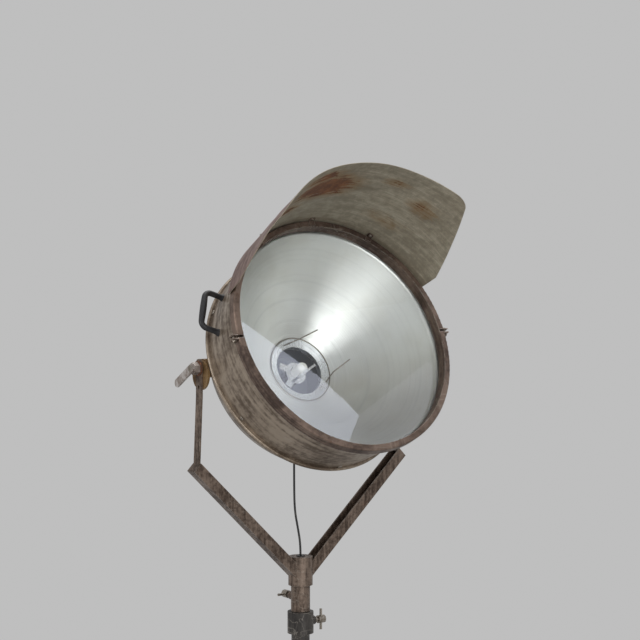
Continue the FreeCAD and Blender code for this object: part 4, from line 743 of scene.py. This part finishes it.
mouldings = {
    "handleBlack": {"colour": tint(26, 26, 29), "rough": 0.46, "dust": 0.25, "wear": 0.35, "bump": 0.3},
    "darkPlastic": {"colour": tint(34, 34, 35), "rough": 0.5, "dust": 0.3},
    "holderPlastic": {"colour": tint(58, 44, 36), "rough": 0.3, "dust": 0.2},
    "sealRubber": {"colour": tint(40, 39, 38), "rough": 0.7, "dust": 0.5, "dustScale": 30.0},
    "cordRubber": {"colour": tint(26, 26, 27), "rough": 0.52, "dust": 0.3, "dustScale": 40.0, "wear": 0.0,
                   "skinScale": 500.0},
}

# the visor's inside: each rust patch is a centre and half size on the sheet's own uv, and how strong it is
visorPaint = {
    "light": tint(168, 160, 142), "dark": tint(124, 116, 100), "brushed": tint(126, 116, 98),
    "stained": tint(126, 100, 66), "rustDeep": tint(82, 50, 34), "rustBright": tint(122, 80, 50),
    "worn": tint(70, 52, 42),
    "rust": [((0.42, 0.66), (0.20, 0.30), 1.0), ((0.38, 0.86), (0.14, 0.12), 0.8),
             ((0.33, 0.42), (0.10, 0.16), 0.7), ((0.62, 0.80), (0.08, 0.10), 0.6),
             ((0.74, 0.66), (0.08, 0.18), 0.65), ((0.70, 0.34), (0.14, 0.16), 0.5)],
}


def spotMask(tree, uv, centre, size):
    # 1 at a spot's centre falling to 0 at its edge, on the sheet's own uv
    local = mapped(tree, uv, (1 / size[0], 1 / size[1], 0),
                   moved=(-centre[0] / size[0], -centre[1] / size[1], 0))
    distance = place(tree, "ShaderNodeVectorMath", {0: local}, operation="LENGTH").outputs["Value"]
    return ramp(tree, distance, 1.0, 0.15)


def visorInsideMaterial():
    # grey-green paint with long brush streaks, and rust where it has broken through
    material, tree, shader, vector = newMaterial("visorInside")
    uv = place(tree, "ShaderNodeUVMap", uv_map="UVMap").outputs["UV"]
    streak = noise(tree, mapped(tree, uv, (3.0, 60.0, 1.0), turned=(0, 0, 0.06)), 3.0, 6, 0.65)
    skin = useGroup(tree, "patina", {"Vector": headVector(tree, vector), "Light": visorPaint["light"],
                                     "Dark": visorPaint["dark"], "Scale": 9.0, "Streak": 0.4,
                                     "Stretch": (0.12, 0.12, 1.0), "Blotch": 0.4})
    colour = blendColours(tree, ramp(tree, streak, 0.38, 0.66, 0.0, 0.75), skin["Color"],
                          visorPaint["brushed"])
    spots = [times(tree, spotMask(tree, uv, centre, size), weight)
             for centre, size, weight in visorPaint["rust"]]
    total = spots[0]
    for spot in spots[1:]:
        total = larger(tree, total, spot)
    eaten = noise(tree, vector, 16.0, 9, 0.7, 1.2)
    torn = noise(tree, mapped(tree, uv, (5.0, 22.0, 1.0), turned=(0, 0, 0.25)), 2.2, 6, 0.65)
    ragged = plus(tree, times(tree, eaten, 0.5), times(tree, torn, 0.5))
    rustMask = ramp(tree, plus(tree, times(tree, total, 0.40), ragged), 0.74, 0.82)
    stain = ramp(tree, plus(tree, times(tree, total, 0.5), ragged), 0.60, 0.84)
    rust = useGroup(tree, "rust", {"Vector": vector, "Scale": 9.0, "Coverage": 0.26,
                                   "Deep": visorPaint["rustDeep"], "Bright": visorPaint["rustBright"]})
    wear = useGroup(tree, "wear", {"Vector": vector, "Radius": 0.0012, "Amount": 0.5})
    colour = blendColours(tree, times(tree, stain, 0.75), colour, visorPaint["stained"])
    colour = blendColours(tree, rustMask, colour, rust["Color"])
    height = plus(tree, times(tree, streak, 0.3), times(tree, rust["Height"], rustMask))
    feed(tree, shader, {"Base Color": blendColours(tree, wear["Mask"], colour, visorPaint["worn"]),
                        "Roughness": ramp(tree, rustMask, 0.0, 1.0, 0.46, 0.85),
                        "Metallic": ramp(tree, rustMask, 0.0, 1.0, 0.25, 0.0),
                        "Normal": bumped(tree, height, 0.3, 0.001)})
    return material


def reflectorMaterial():
    # spun aluminium: fine rings about the axis, stretched shine, and a few duller turns
    material, tree, shader, vector = newMaterial("spunAluminium")
    uv = place(tree, "ShaderNodeUVMap", uv_map="UVMap").outputs["UV"]
    rings = mapped(tree, uv, (1.0, 0.004, 1.0))
    fine = noise(tree, rings, 700.0, 3, 0.6)
    broad = noise(tree, rings, 60.0, 3, 0.55)
    cloud = ramp(tree, noise(tree, vector, 9.0, 6, 0.6), 0.4, 0.75, 0.0, 0.5)
    colour = blendColours(tree, cloud, tint(226, 227, 224), tint(204, 203, 194))
    duller = ramp(tree, broad, 0.5, 0.75, 0.0, 0.25)
    along = place(tree, "ShaderNodeTangent", direction_type="UV_MAP", uv_map="UVMap")
    feed(tree, shader, {
        "Base Color": blendColours(tree, duller, colour, tint(190, 192, 192)),
        "Metallic": 1.0, "Anisotropic": 0.85, "Tangent": along.outputs["Tangent"],
        "Roughness": plus(tree, ramp(tree, broad, 0.3, 0.7, 0.30, 0.38), times(tree, fine, 0.05)),
        "Normal": bumped(tree, fine, 0.12, 0.0003)})
    return material


def glassMaterial():
    # clear glass that lets soft light through, so what stands behind it stays lit
    smeared = 0.012
    material, tree, shader, vector = newMaterial("clearGlass")
    smear = noise(tree, vector, 7.0, 6, 0.6)
    feed(tree, shader, {"Base Color": (0.97, 0.985, 0.985, 1), "Transmission Weight": 1.0, "IOR": 1.47,
                        "Roughness": ramp(tree, smear, 0.45, 0.8, 0.0, smeared)})
    path = place(tree, "ShaderNodeLightPath").outputs
    clear = place(tree, "ShaderNodeBsdfTransparent", {"Color": (0.93, 0.95, 0.95, 1)})
    mix = place(tree, "ShaderNodeMixShader", {0: larger(tree, path["Is Shadow Ray"], path["Is Diffuse Ray"]),
                                              1: tree.nodes["Principled BSDF"].outputs["BSDF"],
                                              2: clear.outputs["BSDF"]})
    endWith(tree, mix.outputs["Shader"])
    return material


def bulbMaterial():
    # pearl glass with a fine speckle
    material, tree, shader, vector = newMaterial("pearlGlass")
    speck = noise(tree, vector, 300.0, 4, 0.6)
    colour = blendColours(tree, ramp(tree, speck, 0.4, 0.7), tint(238, 236, 232), tint(222, 220, 216))
    feed(tree, shader, {"Base Color": colour, "Roughness": 0.22, "Coat Weight": 0.5,
                        "Normal": bumped(tree, speck, 0.1, 0.0003)})
    return material


materials = {"visorInside": visorInsideMaterial(), "spunAluminium": reflectorMaterial(),
             "clearGlass": glassMaterial(), "pearlGlass": bulbMaterial()}
for maker, table in ((agedSteel, steels), (plainMetal, metals), (mouldedMaterial, mouldings)):
    materials.update({name: maker(name, values) for name, values in table.items()})

# which of the frame's nodes wear each finish
finishes = {
    "tripodSteel": ["outer_tube", "clamp_collar", "leg_hub", "leg_front", "leg_left", "leg_right",
                    "column_end_plug"],
    "mastChrome": ["mast_tube"],
    "yokeSteel": ["yoke_arm_left", "yoke_arm_right", "yoke_hub"],
    "drumSteel": ["housing_drum", "back_shell", "rear_cover"],
    "bezelSteel": ["bezel_upper", "bezel_lower", "visor_tabs", "glass_seal"],
    "lampAluminium": ["neck_collar", "lamp_bracket", "bulb_clip"],
    "cupAluminiumPaintedShade": ["lamp_cup"],
    "clearGlass": ["front_glass"],
    "pearlGlass": ["bulb_globe"],
    "bulbBrass": ["bulb_cap", "plug_pins"],
    "holderPlastic": ["lampholder"],
    "darkPlastic": ["mast_bush", "yoke_grommet", "cord_tie", "cable_gland", "plug_body"],
    "sealRubber": ["foot_front", "foot_left", "foot_right"],
    "cordRubber": ["cord_in_column", "inner_lead", "cord_floor", "cord_coil", "cord_tail",
                   "cord_head_stretch"],
    "screwSteel": ["hinge_bolts", "shell_screws", "cover_screws", "bezel_screws", "visor_screws",
                   "handle_screws", "pivot_studs", "spring_wire", "pan_lock_screw", "height_lock_screw"],
    "trunnionBrass": ["trunnion_left", "trunnion_right", "friction_discs"],
    "nutSteel": ["pivot_nut", "pivot_washers"],
    "leverSteel": ["tilt_lever"],
    "visorOutside": ["visor"],
    "spunAluminium": ["reflector"],
    "handleBlack": ["carry_handle"],
}
for finish, nodeNames in finishes.items():
    for nodeName in nodeNames:
        for slot in cadNodes[nodeName].material_slots:
            slot.material = materials[finish]
for piece, finish in ((visorPiece, "visorOutside"), (visorPiece, "visorInside"), (dishPiece, "spunAluminium"),
                      (handlePiece, "handleBlack"), (reliefPiece, "darkPlastic"), (plugPiece, "darkPlastic"),
                      (headCordPiece, "cordRubber"), (floorCordPiece, "cordRubber")):
    piece.data.materials.append(materials[finish])
print("materials:", len(materials))

# stage: a pale floor that fades into a plain background, and soft lamps
stage = {"backdrop": tint(200, 200, 200), "floorRadius": 2.9, "floorPoints": 96, "fadeFrom": 1.3,
         "fadeTo": 0.97, "ambient": 0.62, "seen": 0.9}


def addStagePiece(name, outline, material):
    # one flat face that isn't part of the lamp
    mesh = bpy.data.meshes.new(name)
    mesh.from_pydata(outline.tolist(), [], [list(range(len(outline)))])
    mesh.materials.append(material)
    piece = bpy.data.objects.new(name, mesh)
    bpy.context.collection.objects.link(piece)
    return piece


def floorMaterial():
    # pale and matt in the middle, clear at the rim
    material, tree, shader, vector = newMaterial("paleFloor")
    feed(tree, shader, {"Base Color": stage["backdrop"], "Roughness": 0.85})
    distance = place(tree, "ShaderNodeVectorMath", {0: vector}, operation="LENGTH").outputs["Value"]
    fade = ramp(tree, distance, stage["fadeFrom"], stage["floorRadius"] * stage["fadeTo"])
    clear = place(tree, "ShaderNodeBsdfTransparent")
    mix = place(tree, "ShaderNodeMixShader", {0: fade, 1: tree.nodes["Principled BSDF"].outputs["BSDF"],
                                              2: clear.outputs["BSDF"]})
    endWith(tree, mix.outputs["Shader"])
    return material


floorTurn = fullTurn(stage["floorPoints"])
floorRing = stage["floorRadius"] * np.column_stack([np.cos(floorTurn), np.sin(floorTurn), 0 * floorTurn])
addStagePiece("floor", floorRing, floorMaterial())

world = bpy.data.worlds.new("studio")
bpy.context.scene.world = world
world.use_nodes = True
worldTree = world.node_tree
rays = place(worldTree, "ShaderNodeLightPath").outputs
seenRays = larger(worldTree, larger(worldTree, rays["Is Camera Ray"], rays["Is Transmission Ray"]),
                  rays["Is Glossy Ray"])
strength = ramp(worldTree, seenRays, 0.0, 1.0, stage["ambient"], stage["seen"])
feed(worldTree, worldTree.nodes["Background"].inputs, {"Color": stage["backdrop"], "Strength": strength})

# a lamp that doesn't shine lights the surfaces and isn't mirrored in them
lamps = {
    "keyLamp": {"place": (-3.2, -2.6, 3.6), "aims": (0, -0.1, 1.45), "size": 2.6, "power": 80,
                "shines": False},
    "frontLamp": {"place": (-0.6, -4.4, 1.9), "aims": (0, -0.1, 1.45), "size": 3.0, "power": 62,
                  "shines": True},
    "fillLamp": {"place": (3.4, -2.4, 2.6), "aims": (0, -0.1, 1.4), "size": 3.4, "power": 30,
                 "shines": False},
    "sideLamp": {"place": (-3.6, 0.2, 2.6), "aims": (-0.2, 0, 1.5), "size": 1.2, "power": 30,
                 "shines": True},
    "topLamp": {"place": (0.4, 0.6, 4.2), "aims": (0, 0, 1.4), "size": 2.4, "power": 40,
                "shines": True},
}
for name, values in lamps.items():
    lampData = bpy.data.lights.new(name, "AREA")
    lampData.size = values["size"]
    lampData.energy = values["power"]
    lampObject = bpy.data.objects.new(name, lampData)
    lampObject.location = values["place"]
    lampObject.visible_glossy = values["shines"]
    lampObject.visible_transmission = values["shines"]
    lampObject.rotation_euler = aimed(Vector(values["aims"]) - Vector(values["place"]))
    bpy.context.collection.objects.link(lampObject)

# what the flat front glass mirrors: pale screens beside the camera, seen by reflected rays alone;
# their corners are pixels on the glass, in the 640 frame
frameWidth = 640
pixelScale = camera["lens"] / camera["sensor"] * frameWidth
glassFront = 0.1732
screenDistance = 3.0
screens = {
    "lowScreen": {"corners": [(236, 317), (286, 353), (321, 378), (359, 415), (345, 452), (250, 445),
                              (215, 330)],
                  "colour": tint(218, 223, 240), "strength": 6.5},
    "sideScreen": {"corners": [(359, 415), (427, 362), (450, 372), (420, 450), (345, 452)],
                   "colour": tint(232, 232, 240), "strength": 2.0},
    "stripScreen": {"corners": [(341, 396), (349, 404), (331, 429), (318, 424)],
                    "colour": tint(240, 240, 244), "strength": 3.5},
}


def mirrored(corners):
    # where the lines of sight through these pixels go after the glass turns them, cut by one flat screen
    forward = np.array(camera["looks"]) / np.linalg.norm(camera["looks"])
    across = np.cross(forward, [0.0, 0.0, 1.0])
    across /= np.linalg.norm(across)
    upward = np.cross(across, forward)
    pixels = np.asarray(corners, dtype=float) - frameWidth / 2
    sight = forward + pixels[:, :1] / pixelScale * across - pixels[:, 1:] / pixelScale * upward
    eye = np.array(camera["place"])
    depth = headCentre + headForward * glassFront - eye
    hits = eye + sight * ((depth @ headForward) / (sight @ headForward))[:, None]
    turned = sight - 2 * (sight @ headForward)[:, None] * headForward
    middle = turned.mean(axis=0) / np.linalg.norm(turned.mean(axis=0))
    start = hits.mean(axis=0) + middle * screenDistance
    return hits + turned * (((start - hits) @ middle) / (turned @ middle))[:, None]


def glowMaterial(name, colour, strength):
    # plain light of one colour
    material, tree = newMaterial(name)[:2]
    glow = place(tree, "ShaderNodeEmission", {"Color": colour, "Strength": strength})
    endWith(tree, glow.outputs["Emission"])
    return material


for name, values in screens.items():
    glow = glowMaterial(name, values["colour"], values["strength"])
    screen = addStagePiece(name, mirrored(values["corners"]), glow)
    for ray in ("camera", "diffuse", "transmission", "shadow", "volume_scatter"):
        setattr(screen, "visible_" + ray, False)

bpy.context.scene.view_settings.view_transform = "Standard"

print("stage set")
